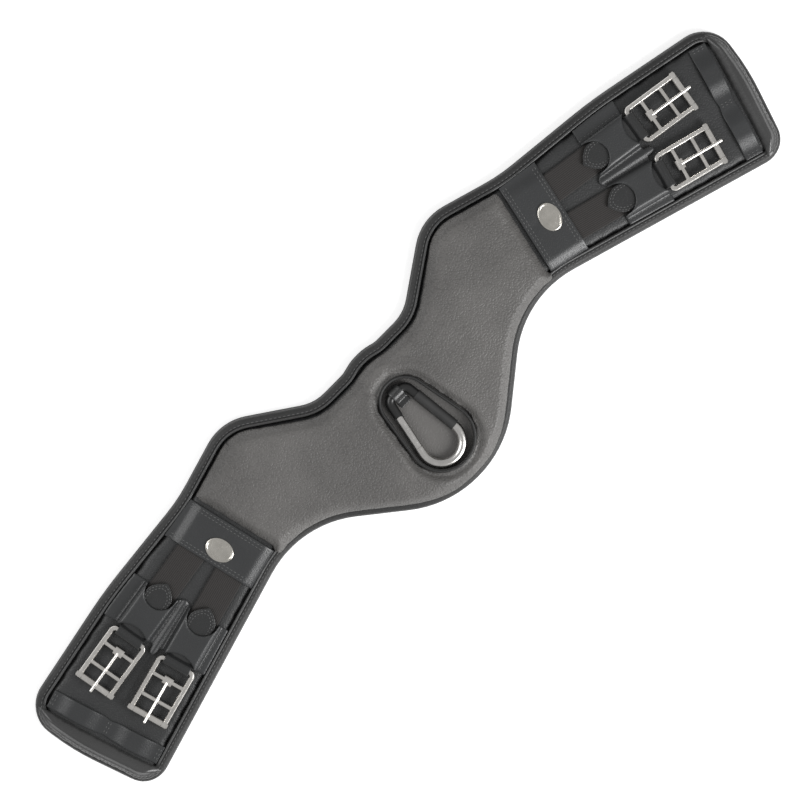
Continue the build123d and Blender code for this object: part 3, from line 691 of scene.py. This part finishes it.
TURN_DOWN = 6.4 * MM
SLOPE_END = 9.5 * MM
VALLEY_AT, VALLEY_WIDE, VALLEY_DEEP = 3.0 * MM, 2.4 * MM, 1.7 * MM
RIDGE_AT, RIDGE_WIDE, RIDGE_HIGH = 9.0 * MM, 4.0 * MM, 0.5 * MM
PAD_EDGE = evenly(pushed_out(PAD_LOOP, TURN_DOWN), RING_STEP)
pad = prism("chest_pad", inward(PAD_EDGE, 0.8 * MM), DECK - 1.5 * MM, PAD_TOP - 1.4 * MM)
cutter = prism("cutter", inward(RIM_LOOP, 0.4 * MM), DECK - 3 * MM, PAD_TOP + 3 * MM)
modify(pad, "BOOLEAN", operation="DIFFERENCE", object=cutter, solver="EXACT")
bpy.data.objects.remove(cutter)
puff(pad, 2.8 * MM, 4.0, 1.6 * MM, DECK - 1.7 * MM)
spots = points_of(pad)
along, away = nearest_on(PAD_EDGE)(spots)
round_window = nearest_on(RIM_LOOP)(spots)[1]
raised = np.maximum(spots[:, 2] - DECK, 0)
spots[:, 2] -= raised * 0.72 * (1 - ramp(away, -1.5 * MM, SLOPE_END))
top = ramp(spots[:, 2], DECK + 0.5 * MM, DECK + 3 * MM)
spots[:, 2] += top * gathers(along, (6.3, 4.7, 9.1)) * np.exp(-away / (6 * MM)) * 0.5 * MM
spots[:, 2] -= top * VALLEY_DEEP * np.exp(-((round_window - VALLEY_AT) / VALLEY_WIDE) ** 2)
spots[:, 2] += top * RIDGE_HIGH * np.exp(-((round_window - RIDGE_AT) / RIDGE_WIDE) ** 2)
spots[:, 2] += top * rumple(spots, 40 * MM, 8.2) * 0.7 * MM * ramp(away, 5 * MM, 25 * MM)
spots[:, 2] += top * rumple(spots, 15 * MM, 2.7) * 0.22 * MM * ramp(away, 3 * MM, 15 * MM)
move_points(pad, spots)
mark_lie(pad, along, away)
smooth(pad, 70)
register(pad, CHEST_LEATHER_PAINTED_SHEEN, replaced=["chest_foam", "chest_panel"])

# %% The window's piped rim
RIM_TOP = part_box("window_rim")[1].z / MM
RIM = [(2.3, 10.6), (2.3, RIM_TOP - 2.2), (2.1, RIM_TOP - 0.7), (1.1, RIM_TOP + 0.25), (0.0, RIM_TOP - 0.3),
       (-0.3, RIM_TOP - 1.6), (0.6, RIM_TOP - 2.6), (0.6, 10.6)]
rim = carried("window_piping", RIM_LOOP, rolled(RIM, 3), 0)
register(rim, BINDING_LEATHER, replaced=["window_rim"])

# %% [markdown]
# ## Flat leather
# Bands, straps, keepers and the hook's loop are strips of one thickness. Each is a side line of points,
# extruded sideways into a sheet, given its thickness by Solidify and its eased edges by Bevel, as a strap
# maker splits and edges a strap. Nothing is simulated here, because a remesh would swallow them.

# %% A strip from its side line
def strip(name, side_line, width, thick, columns=8, edge=0.55 * MM):
    """A strip whose side line is given in X and Z, and whose width is along Y."""
    line = evenly(side_line, 1.3 * MM, closed=False)
    points = [(x, -width / 2, z) for x, z in line]
    obj = new_object(name, points, edges=[(i, i + 1) for i in range(len(points) - 1)])
    with editing(obj):
        for _ in range(columns):
            bpy.ops.mesh.extrude_edges_move(TRANSFORM_OT_translate={"value": (0, width / columns, 0)})
        bpy.ops.mesh.select_all(action="SELECT")
        bpy.ops.mesh.normals_make_consistent(inside=False)
    modify(obj, "SOLIDIFY", thickness=thick, offset=0, use_even_offset=True)
    with editing(obj):
        bpy.ops.mesh.normals_make_consistent(inside=False)
    if edge:
        modify(obj, "BEVEL", width=edge, segments=3, limit_method="ANGLE", angle_limit=math.radians(55))
    spots = points_of(obj)
    mark_lie(obj, spots[:, 0], spots[:, 1])
    smooth(obj, 50)
    return obj


def arc(middle, radius, start, end, count=14):
    """Points of an arc in a side line, by angle in degrees."""
    turns = np.radians(np.linspace(start, end, count))
    return [(middle[0] + radius * math.cos(t), middle[1] + radius * math.sin(t)) for t in turns]


# %% Cross bands
ACROSS = WING @ Matrix.Rotation(math.radians(90), 4, "Z")
band_low, band_high = span("cross_band_right", WING)
BAND_WIDTH = band_high.x - band_low.x
BAND_THICK = 1.8 * MM
band_span = {p: span(f"elastic_{p}_right", strap_frame(p)) for p in POSITIONS}


def web_across(position, along):
    """How far across the wing a strap's middle line is at a distance along the wing."""
    local = WING.inverted() @ strap_frame(position)
    way = local.to_3x3() @ Vector((1, 0, 0))
    return local.translation.y + (along - local.translation.x) * way.y / way.x


BAND_MIDDLE = (band_low.x + band_high.x) / 2
WEB_HALF = band_span["rear"][1].y
rear_edge = web_across("rear", BAND_MIDDLE) + WEB_HALF
front_edge = web_across("front", BAND_MIDDLE) - WEB_HALF
gap_middle = (web_across("rear", BAND_MIDDLE) + web_across("front", BAND_MIDDLE)) / 2


def band_line():
    """The band's side line: flat on the deck, over both elastics, with a slight dip between them."""
    spot = np.linspace(band_low.y - 4 * MM, band_high.y + 4 * MM, 120)
    past_front = ramp(spot, front_edge - 9 * MM, front_edge + 1 * MM)
    over = past_front * (1 - ramp(spot, rear_edge - 1 * MM, rear_edge + 9 * MM))
    dip = np.exp(-((spot - gap_middle) / (3.5 * MM)) ** 2) * 0.25 * MM
    level = DECK + BAND_THICK / 2 + over * (ELASTIC_TOP - DECK) - dip
    return np.column_stack([spot, level])


def trim(obj, node, place):
    """Cuts a strip's two ends along the ends of its own solid."""
    local = place.inverted()
    spots = np.array([local @ v.co for v in NODES[node].data.vertices])
    for side in (1, -1):
        ends = []
        for edge in (spots[:, 1].min(), spots[:, 1].max()):
            near = spots[np.abs(spots[:, 1] - edge) < 2.5 * MM]
            ends.append(Vector(near[np.argmax(side * near[:, 0])]))
        way = ends[1] - ends[0]
        outwards = Vector((way.y, -way.x, 0)).normalized()
        outwards = outwards if outwards.x * side > 0 else -outwards
        with editing(obj):
            bpy.ops.mesh.bisect(plane_co=ends[0], plane_no=outwards, use_fill=True, clear_outer=True)


band = strip("cross_band_leather_right", band_line(), BAND_WIDTH - 0.4 * MM, BAND_THICK, 12, 0.7 * MM)
put(band, Matrix.Translation((0, -BAND_MIDDLE, 0)))
trim(band, "cross_band_right", ACROSS)
smooth(band, 50)
put(band, ACROSS)
register_pair(band, BAND_LEATHER, replaced=["cross_band_right"])

# %% [markdown]
# ## Elastics and straps
# The elastics run from under the cross band to the straps' pointed ends. They stretch as the straps slide;
# here they are built at rest and moved with no body. Each strap is one strip: its pointed top layer, the fold
# round the chape bar, and the short layer that comes back underneath.

# %% Elastics
for position in POSITIONS:
    low, high = span(f"elastic_{position}_right", strap_frame(position))
    flat = np.array([(x, 0) for x in np.linspace(low.x + 1 * MM, high.x, 80)])
    sag = np.sin(np.linspace(0, math.pi, 80)) * 0.15 * MM
    line = np.column_stack([flat[:, 0], (low.z + high.z) / 2 - sag])
    web_wide, web_thick = 2 * high.y - 0.2 * MM, high.z - low.z - 0.1 * MM
    web = strip(f"elastic_web_{position}_right", line, web_wide, web_thick, 10, 0.8 * MM)
    spots = points_of(web)
    spots[:, 2] -= (spots[:, 1] / high.y) ** 2 * 0.2 * MM * (spots[:, 2] > (low.z + high.z) / 2)
    move_points(web, spots)
    put(web, strap_frame(position))
    copy = mirrored(web)
    start = strap_frame(position) @ Vector((low.x + 40 * MM, 0, high.z))
    end = strap_frame(position) @ Vector((high.x - 14 * MM, 0, high.z))
    for obj, side, flip in ((web, "right", 1), (copy, "left", -1)):
        register(obj, ELASTIC, None, [f"elastic_{position}_{side}"])
        spot = [Vector((flip * p.x, p.y, p.z)) for p in (start, end)]
        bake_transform(obj)

# %% Straps
STRAP_THICK = 2.2 * MM
TIP_LENGTH = 13 * MM
TOP_LEVEL = ELASTIC_TOP + STRAP_THICK / 2
LOW_LEVEL = ELASTIC_LOW + STRAP_THICK / 2
FOLD = BAR_Z - LOW_LEVEL


def strap_line(low, lap_end):
    """Along the top layer, up over the bar, round it and back underneath."""
    rise = [(-6.2 * MM, TOP_LEVEL), (-4.6 * MM, TOP_LEVEL + 0.5 * MM), (-2.2 * MM, BAR_Z + FOLD - 0.5 * MM)]
    return [(low, TOP_LEVEL), *rise, *arc((0, BAR_Z), FOLD, 92, -90), (lap_end, LOW_LEVEL)]


def tip_share(distance):
    """How wide a pointed strap end is at a distance from its point, as a share of the strap."""
    return 1 - (1 - np.clip(distance / TIP_LENGTH, 0, 1)) ** 1.85


strap_pieces = {}
for position in POSITIONS:
    low, high = span(f"strap_{position}_right", strap_frame(position))
    lap_end = span(f"elastic_{position}_right", strap_frame(position))[1].x
    strap = strip(f"strap_leather_{position}_right", strap_line(low.x, lap_end), 2 * high.y, STRAP_THICK, 12)
    spots = points_of(strap)
    spots[:, 1] *= np.maximum(tip_share(spots[:, 0] - low.x), 0.02)
    crown = ramp(spots[:, 2], TOP_LEVEL - 0.2 * MM, TOP_LEVEL + 0.4 * MM)
    crown *= 1 - ramp(spots[:, 0] - low.x, 6 * MM, TIP_LENGTH)
    spots[:, 2] += crown * 0.35 * MM * (1 - (spots[:, 1] / high.y) ** 2)
    move_points(strap, spots)
    with editing(strap):
        bpy.ops.mesh.remove_doubles(threshold=0.02 * MM)
    smooth(strap, 50)
    put(strap, strap_frame(position))
    strap_pieces[position] = register_pair(strap, STRAP_LEATHER, f"strap_{position}_right",
                                           [f"strap_{position}_right"])
print("strap faces:", len(strap.data.polygons))

# %% [markdown]
# ## The cover
# One piece of leather is moulded down over both straps. Its edges are scalloped round the straps, and it is
# too uneven for a strip, so it starts as a merged copy of its own solid: remeshed fine, then smoothed until
# the moulding looks pressed and not machined. The ridge between the straps is raised in the mesh.

# %% The moulded cover
def copied(name, node):
    """A merged copy of a CAD node's mesh."""
    obj = new_object(name, [])
    obj.data = NODES[node].data.copy()
    with editing(obj):
        bpy.ops.mesh.remove_doubles(threshold=1e-6)
    return obj


cover = copied("cover_leather_right", "cover_panel_right")
modify(cover, "REMESH", mode="VOXEL", voxel_size=0.8 * MM, use_smooth_shade=True)
modify(cover, "SMOOTH", factor=0.5, iterations=7)
to_wing = WING.inverted()
turn_back = np.array(to_wing.to_3x3())
spots = points_of(cover)
local = spots @ turn_back.T + np.array(to_wing.translation)
middle = np.array([(web_across("rear", x) + web_across("front", x)) / 2 for x in local[:, 0]])
from_middle = np.abs(local[:, 1] - middle)
for position in POSITIONS:
    beside = np.abs(local[:, 1] - np.array([web_across(position, x) for x in local[:, 0]]))
    over_strap = 1 - ramp(beside, WEB_HALF, WEB_HALF + 3 * MM)
    over_strap *= ramp(spots[:, 2], DECK + 3 * MM, DECK + 5 * MM)
    spots[:, 2] += over_strap * 0.6 * MM
spots[:, 2] += np.exp(-(from_middle / (2.6 * MM)) ** 2) * 1.2 * MM * ramp(spots[:, 2], DECK, DECK + 1.5 * MM)
spots[:, 2] += rumple(spots, 16 * MM, 5.5) * 0.22 * MM
move_points(cover, spots)
smooth(cover, 60)
register_pair(cover, BAND_LEATHER, replaced=["cover_panel_right"])
print("cover faces:", len(cover.data.polygons))

# %% [markdown]
# ## Keepers and end patches
# The keeper is one strip sewn down at its ends and middle, with two low arches that the girth straps pass
# under. Beyond it the wing ends in a smooth padded patch.

# %% Billet keepers
keeper_low, keeper_high = span("billet_keeper_right", WING)
KEEPER_MIDDLE = (keeper_low + keeper_high) / 2
KEEPER = WING @ Matrix.Translation((KEEPER_MIDDLE.x, 0, 0)) @ Matrix.Rotation(KEEPER_TURN, 4, "Z")
KEEPER_ACROSS = KEEPER @ Matrix.Rotation(math.radians(90), 4, "Z")
keeper_low, keeper_high = span("billet_keeper_right", KEEPER_ACROSS)
FOOT = 5 * MM
KEEPER_THICK = 2.0 * MM
KEEPER_RISE = keeper_high.z - DECK - KEEPER_THICK
KEEPER_SEWN = -2.9 * MM
ARCH_SHARE = 0.45
ARCH_SLOPE = 15 * MM


def keeper_line():
    """Two arches between the three sewn places."""
    spot = np.linspace(keeper_low.x, keeper_high.x, 130)
    rise = np.zeros_like(spot)
    for start, end in ((keeper_low.x + FOOT, KEEPER_SEWN - FOOT), (KEEPER_SEWN + FOOT, keeper_high.x - FOOT)):
        rise += ramp(spot, start, start + ARCH_SLOPE) * (1 - ramp(spot, end - ARCH_SLOPE, end))
    return np.column_stack([spot, DECK + KEEPER_THICK / 2 + ARCH_SHARE * KEEPER_RISE * rise])


keeper = strip("keeper_strap_right", keeper_line(), keeper_high.y - keeper_low.y, KEEPER_THICK, 8)
spots = points_of(keeper)
spots[:, 1] *= 1 - 0.15 * np.exp(-((spots[:, 0] - KEEPER_SEWN) / (5 * MM)) ** 2)
move_points(keeper, spots)
put(keeper, Matrix.Translation((0, (keeper_high.y + keeper_low.y) / 2, 0)))
put(keeper, KEEPER_ACROSS)
register_pair(keeper, BAND_LEATHER, replaced=["billet_keeper_right"])

# %% End patches
PATCH_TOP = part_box("end_patch_right")[1].z
KEEPER_EDGE = (keeper_high.y - keeper_low.y) / 2
to_keeper = np.array(KEEPER.inverted())

PRESSED_UNDER = 2.2 * MM
spots = points_of(piping)
past = np.abs(spots[:, 0]) * to_keeper[0, 0] + spots[:, 1] * to_keeper[0, 1] + to_keeper[0, 3] - KEEPER_EDGE
spots[:, 2] -= PRESSED_UNDER * ramp(past, -1.0 * MM, 3.0 * MM)
move_points(piping, spots)


def end_loop(inset, beyond):
    """The wing's end outline past the keeper, closed by a straight edge beside it."""
    loop = inward(OUTLINE, inset)
    local = loop @ to_keeper[:2, :2].T + to_keeper[:2, 3]
    inside = local[:, 0] > KEEPER_EDGE + beyond
    first = np.flatnonzero(inside & ~np.roll(inside, 1))
    start = [i for i in first if local[i, 0] > 0][0]
    return evenly(np.roll(loop, -start, 0)[np.roll(inside, -start)], RING_STEP)


PATCH_LOOP = end_loop(2.0 * MM, 1.2 * MM)
patch = prism("end_pad_right", inward(PATCH_LOOP, 0.5 * MM), DECK - 2.0 * MM, PATCH_TOP + 0.2 * MM)
puff(patch, 2.0 * MM, 4.0, 0.8 * MM, DECK - 2.4 * MM)
modify(patch, "SUBSURF", levels=1, render_levels=1)
spots = points_of(patch)
along, away = nearest_on(PATCH_LOOP)(spots)
outer = nearest_on(OUTLINE)(spots)[1]
top = ramp(spots[:, 2], DECK - 0.5 * MM, DECK + 1.0 * MM)
spots[:, 2] -= top * 1.5 * MM * (1 - ramp(outer, 1.5 * MM, 7.0 * MM))
spots[:, 2] -= top * 0.5 * MM * np.exp(-((outer - 5.0 * MM) / (1.0 * MM)) ** 2)
spots[:, 2] += top * 3.2 * MM * ramp(outer, 5.5 * MM, 11 * MM) * ramp(away, 0.0, 9 * MM)
spots[:, 2] += top * gathers(along, (4.9, 6.7, 3.3)) * 0.14 * MM * np.exp(-np.abs(outer - 4 * MM) / (3 * MM))
move_points(patch, spots)
mark_lie(patch, along, away)
smooth(patch, 70)
patches = register_pair(patch, PATCH_LEATHER, replaced=["end_patch_right"])

# %% [markdown]
# ## Small pieces
# The oval plate is plain: a domed oval with a raised border. The hook's loop is a short leather strip that
# arches over the eye of the hook and is sewn to the floor of the window.

# %% Oval plates
low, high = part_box("oval_plate_right")
middle = (low + high) / 2
to_plate = ACROSS.copy()
to_plate.translation = (middle.x, middle.y, low.z)
plate_low, plate_high = span("oval_plate_right", to_plate)
half_long, half_wide = plate_high.x, plate_high.y
plate_thick = plate_high.z - plate_low.z
bpy.ops.object.select_all(action="DESELECT")
bpy.ops.mesh.primitive_cylinder_add(vertices=64, radius=1.0, depth=plate_thick * 0.6,
                                    location=(0, 0, plate_thick * 0.3))
plate = bpy.context.object
plate.name = "oval_badge_right"
plate.scale = (half_long, half_wide, 1)
bpy.ops.object.transform_apply(location=True, rotation=False, scale=True)
with editing(plate):
    pick("FACE", lambda f: f.normal.z > 0.9)
    for inset, rise in ((0.5, 0.30), (0.9, 0.10), (0.35, -0.35), (0.6, 0.0), (2.0, 0.22), (2.0, 0.12)):
        bpy.ops.mesh.inset(thickness=inset * MM, depth=rise * MM)
modify(plate, "BEVEL", width=0.2 * MM, segments=2, limit_method="ANGLE", angle_limit=math.radians(25))
smooth(plate, 40)
put(plate, to_plate)
register_pair(plate, PLATE_METAL, replaced=["oval_plate_right"])

# %% The hook's loop
low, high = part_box("hook_loop")
eye = JOINTS["hook_swing"]["pos_m"]
LOOP_THICK = 1.6 * MM
reach = high.z - eye[2] - LOOP_THICK / 2
loop_line = [(low.y - eye[1] - 1 * MM, DECK + LOOP_THICK / 2), (-reach - 1.5 * MM, DECK + LOOP_THICK / 2),
             (-reach - 0.2 * MM, DECK + 1.8 * MM), (-reach, eye[2] - 1.5 * MM),
              *arc((0, eye[2]), reach, 180, 0),
             (reach, eye[2] - 1.5 * MM), (reach, DECK + 0.6 * MM)]
loop = strip("hook_loop_leather", loop_line, high.x - low.x, LOOP_THICK, 6, 0.4 * MM)
put(loop, Matrix.Translation((eye[0], eye[1], 0)) @ Matrix.Rotation(math.radians(90), 4, "Z"))
register(loop, STRAP_LEATHER, replaced=["hook_loop"])

# %% [markdown]
# ## Stitching
# One stitch is modelled once: a short rounded rod whose ends dip into the leather. It is copied along each
# row, turned with the row and dropped onto the leather under it, and each row of copies is one piece.

# %% One stitch and rows of it
def one_stitch(length, radius):
    """A short thread along X, with its ends pulled down."""
    bpy.ops.object.select_all(action="DESELECT")
    bpy.ops.mesh.primitive_uv_sphere_add(segments=6, ring_count=5, radius=1.0,
                                         rotation=(0, math.radians(90), 0))
    obj = bpy.context.object
    obj.scale = (radius * 0.8, radius, length / 2)
    bpy.ops.object.transform_apply(location=True, rotation=True, scale=True)
    spots = points_of(obj)
    spots[:, 2] -= (spots[:, 0] / (length / 2)) ** 4 * radius * 0.9
    faces = [tuple(p.vertices) for p in obj.data.polygons]
    bpy.data.objects.remove(obj)
    return spots, faces


def surface_under(*pieces):
    """A function that gives the highest point and normal of some pieces under a plan point."""
    graph = bpy.context.evaluated_depsgraph_get()
    trees = [BVHTree.FromObject(piece, graph) for piece in pieces]

    def find(x, y):
        hits = [tree.ray_cast(Vector((x, y, 0.06)), Vector((0, 0, -1))) for tree in trees]
        hits = [hit for hit in hits if hit[0] is not None]
        return max(hits, key=lambda hit: hit[0].z)[:2] if hits else (None, None)
    return find


def sewn(name, rows, find, length=2.6 * MM, gap=0.9 * MM, radius=0.36 * MM, closed=False):
    """Stitches along plan rows, lying on the leather under them."""
    shape, shape_faces = one_stitch(length, radius)
    vertices, faces = [], []
    for row in rows:
        ends = evenly(row, length + gap, closed)
        ahead = np.roll(ends, -1, 0) if closed else ends[1:]
        for start, end in zip(ends, ahead):
            middle = (start + end) / 2
            spot, normal = find(*middle)
            if spot is None:
                continue
            way = Vector((*(end - start), 0))
            way = (way - normal * way.dot(normal)).normalized()
            turn = Matrix((way, normal.cross(way), normal)).transposed()
            first = len(vertices)
            seat = spot + normal * radius * 0.25
            vertices += [seat + turn @ Vector(p) for p in shape]
            faces += [tuple(first + i for i in face) for face in shape_faces]
    obj = new_object(name, vertices, faces=faces)
    smooth(obj, 80)
    return obj


def lines_across(place, alongs, low, high):
    """Straight plan rows at some X values of a frame, from one Y to another."""
    rows = []
    for along in alongs:
        ends = [place @ Vector((along, y, 0)) for y in (low, high)]
        rows.append(np.array([end[:2] for end in ends]))
    return rows


# %% Rows on the wings
def rows_on_band():
    """Double rows inside both long edges of the cross band."""
    inside = [band_low.x + d * MM for d in (2.4, 4.9)] + [band_high.x - d * MM for d in (2.4, 4.9)]
    rows = []
    for along in inside:
        ray = [WING @ Vector((along, y, 0)) for y in np.linspace(band_low.y, band_high.y, 60)]
        inner = [p[:2] for p in ray if on_band(p.x, p.y)[0] is not None]
        rows.append(np.array(inner[1:-1]))
    return rows


on_band = surface_under(band)
stitches = sewn("stitching_band_right", rows_on_band(), on_band, 2.4 * MM, 0.9 * MM)
register_pair(stitches, THREAD_PAINTED_HIGHLIGHT)

for position in POSITIONS:
    place = strap_frame(position)
    low, high = span(f"strap_{position}_right", place)
    rows = []
    for inset in (1.7 * MM, 3.6 * MM):
        reach = np.linspace(inset * 1.5, 24 * MM, 40)
        half = np.maximum(tip_share(reach - inset * 0.4) * high.y - inset, 0)
        side = [(low.x + x, y) for x, y in zip(reach, half)]
        whole = [(x, -y) for x, y in reversed(side)] + side
        rows.append(np.array([(place @ Vector((x, y, 0)))[:2] for x, y in whole]))
    stitches = sewn(f"stitching_strap_{position}_right", rows, surface_under(strap_pieces[position][0]),
                    1.9 * MM, 0.7 * MM, 0.32 * MM)
    register_pair(stitches, THREAD_PAINTED_HIGHLIGHT, f"strap_{position}_right")

cover_low, cover_high = span("cover_panel_right", WING)


def beside_strap(position, distance):
    """A plan row beside a strap, under the cover."""
    alongs = np.linspace(cover_low.x + 5 * MM, cover_high.x - 9 * MM, 20)
    return np.array([(WING @ Vector((x, web_across(position, x) + distance, 0)))[:2] for x in alongs])


EDGE_OF_TUNNEL = WEB_HALF + 5.0 * MM
rows = [beside_strap("rear", EDGE_OF_TUNNEL), beside_strap("front", -EDGE_OF_TUNNEL)]
ridge = [beside_strap("rear", -EDGE_OF_TUNNEL + 0.6 * MM), beside_strap("front", EDGE_OF_TUNNEL - 0.6 * MM)]
stitches = sewn("stitching_cover_right", rows + ridge, surface_under(cover), 2.2 * MM, 0.9 * MM)
register_pair(stitches, THREAD_PAINTED_HIGHLIGHT)

keeper_rows = []
for spot in (keeper_low.x + 1.6 * MM, keeper_low.x + 3.6 * MM, KEEPER_SEWN - 1.1 * MM, KEEPER_SEWN + 1.1 * MM,
             keeper_high.x - 3.6 * MM, keeper_high.x - 1.6 * MM):
    keeper_rows += lines_across(KEEPER_ACROSS, [spot], -5.6 * MM, 5.6 * MM)
stitches = sewn("stitching_keeper_right", keeper_rows, surface_under(keeper), 2.0 * MM, 0.7 * MM, 0.32 * MM)
register_pair(stitches, THREAD_PAINTED_HIGHLIGHT)

stitches = sewn("stitching_patch_right", [end_loop(5.0 * MM, 1.5 * MM)[2:-2]], surface_under(patch), 2.3 * MM,
                0.9 * MM)
register_pair(stitches, THREAD_PAINTED_HIGHLIGHT)

# %% Rows on the body
stitches = sewn("stitching_window", [inward(RIM_LOOP, -2.2 * MM)], surface_under(pad), 2.4 * MM, 1.0 * MM,
                closed=True)
register(stitches, THREAD_PAINTED_HIGHLIGHT)
stitches = sewn("stitching_edge", [inward(OUTLINE, 5.6 * MM)], surface_under(binding), 2.6 * MM, 1.1 * MM,
                0.34 * MM, closed=True)
register(stitches, THREAD_PAINTED_HIGHLIGHT)

# %% [markdown]
# ## Floor, light and camera
# The girth lies on a plain white floor. One large soft light comes over its front edge and a weaker one over
# its rear edge, so the pads are shaded on one side and a soft shadow falls behind. The camera looks almost
# straight down, turned so that the girth lies across the picture from corner to corner.

# %% Stage
bpy.context.scene.view_settings.view_transform = "Standard"
bpy.ops.object.select_all(action="DESELECT")
bpy.ops.mesh.primitive_plane_add(size=6.0, location=(0, 0, -0.2 * MM))
floor = bpy.context.object
floor.name = "floor"
paint = Finish("floor_white")
patch_tone = paint.mix(grey(0.88), grey(0.9), paint.noise(0.4))
floor.data.materials.append(paint.done(paint.noise(0.01), 0.0001, Base_Color=patch_tone, Roughness=0.8,
                                      Emission_Color=grey(1.0), Emission_Strength=0.45))


def soft_light(name, spot, size, power):
    """A square area light aimed at the middle of the girth."""
    data = bpy.data.lights.new(name, "AREA")
    data.shape = "SQUARE"
    data.size = size
    data.energy = power
    lamp = bpy.data.objects.new(name, data)
    lamp.location = spot
    lamp.rotation_euler = (-Vector(spot)).to_track_quat("-Z", "Y").to_euler()
    bpy.context.scene.collection.objects.link(lamp)


soft_light("front_light", (0.35, -1.15, 0.95), 0.9, 25)
soft_light("rear_light", (-0.6, 1.0, 1.2), 0.9, 9)
world = bpy.data.worlds.new("studio")
world.use_nodes = True
world.node_tree.nodes["Background"].inputs["Color"].default_value = (1, 1, 1, 1)
world.node_tree.nodes["Background"].inputs["Strength"].default_value = 0.45
bpy.context.scene.world = world

# %% Camera
ROLL = math.radians(-45.25)
LEAN = math.radians(4.0)
DISTANCE = 1.9
SEEN = 0.640
aim = Vector((-0.7 * MM, 1.7 * MM, 12 * MM))
camera = bpy.data.objects.new("camera", bpy.data.cameras.new("camera"))
camera.data.sensor_width = 36
camera.data.lens = 36 * DISTANCE / SEEN
look = Matrix.Rotation(-LEAN, 4, "X") @ Matrix.Rotation(ROLL, 4, "Z")
camera.matrix_world = Matrix.Translation(aim) @ look @ Matrix.Translation((0, 0, DISTANCE))
bpy.context.scene.collection.objects.link(camera)
bpy.context.scene.camera = camera
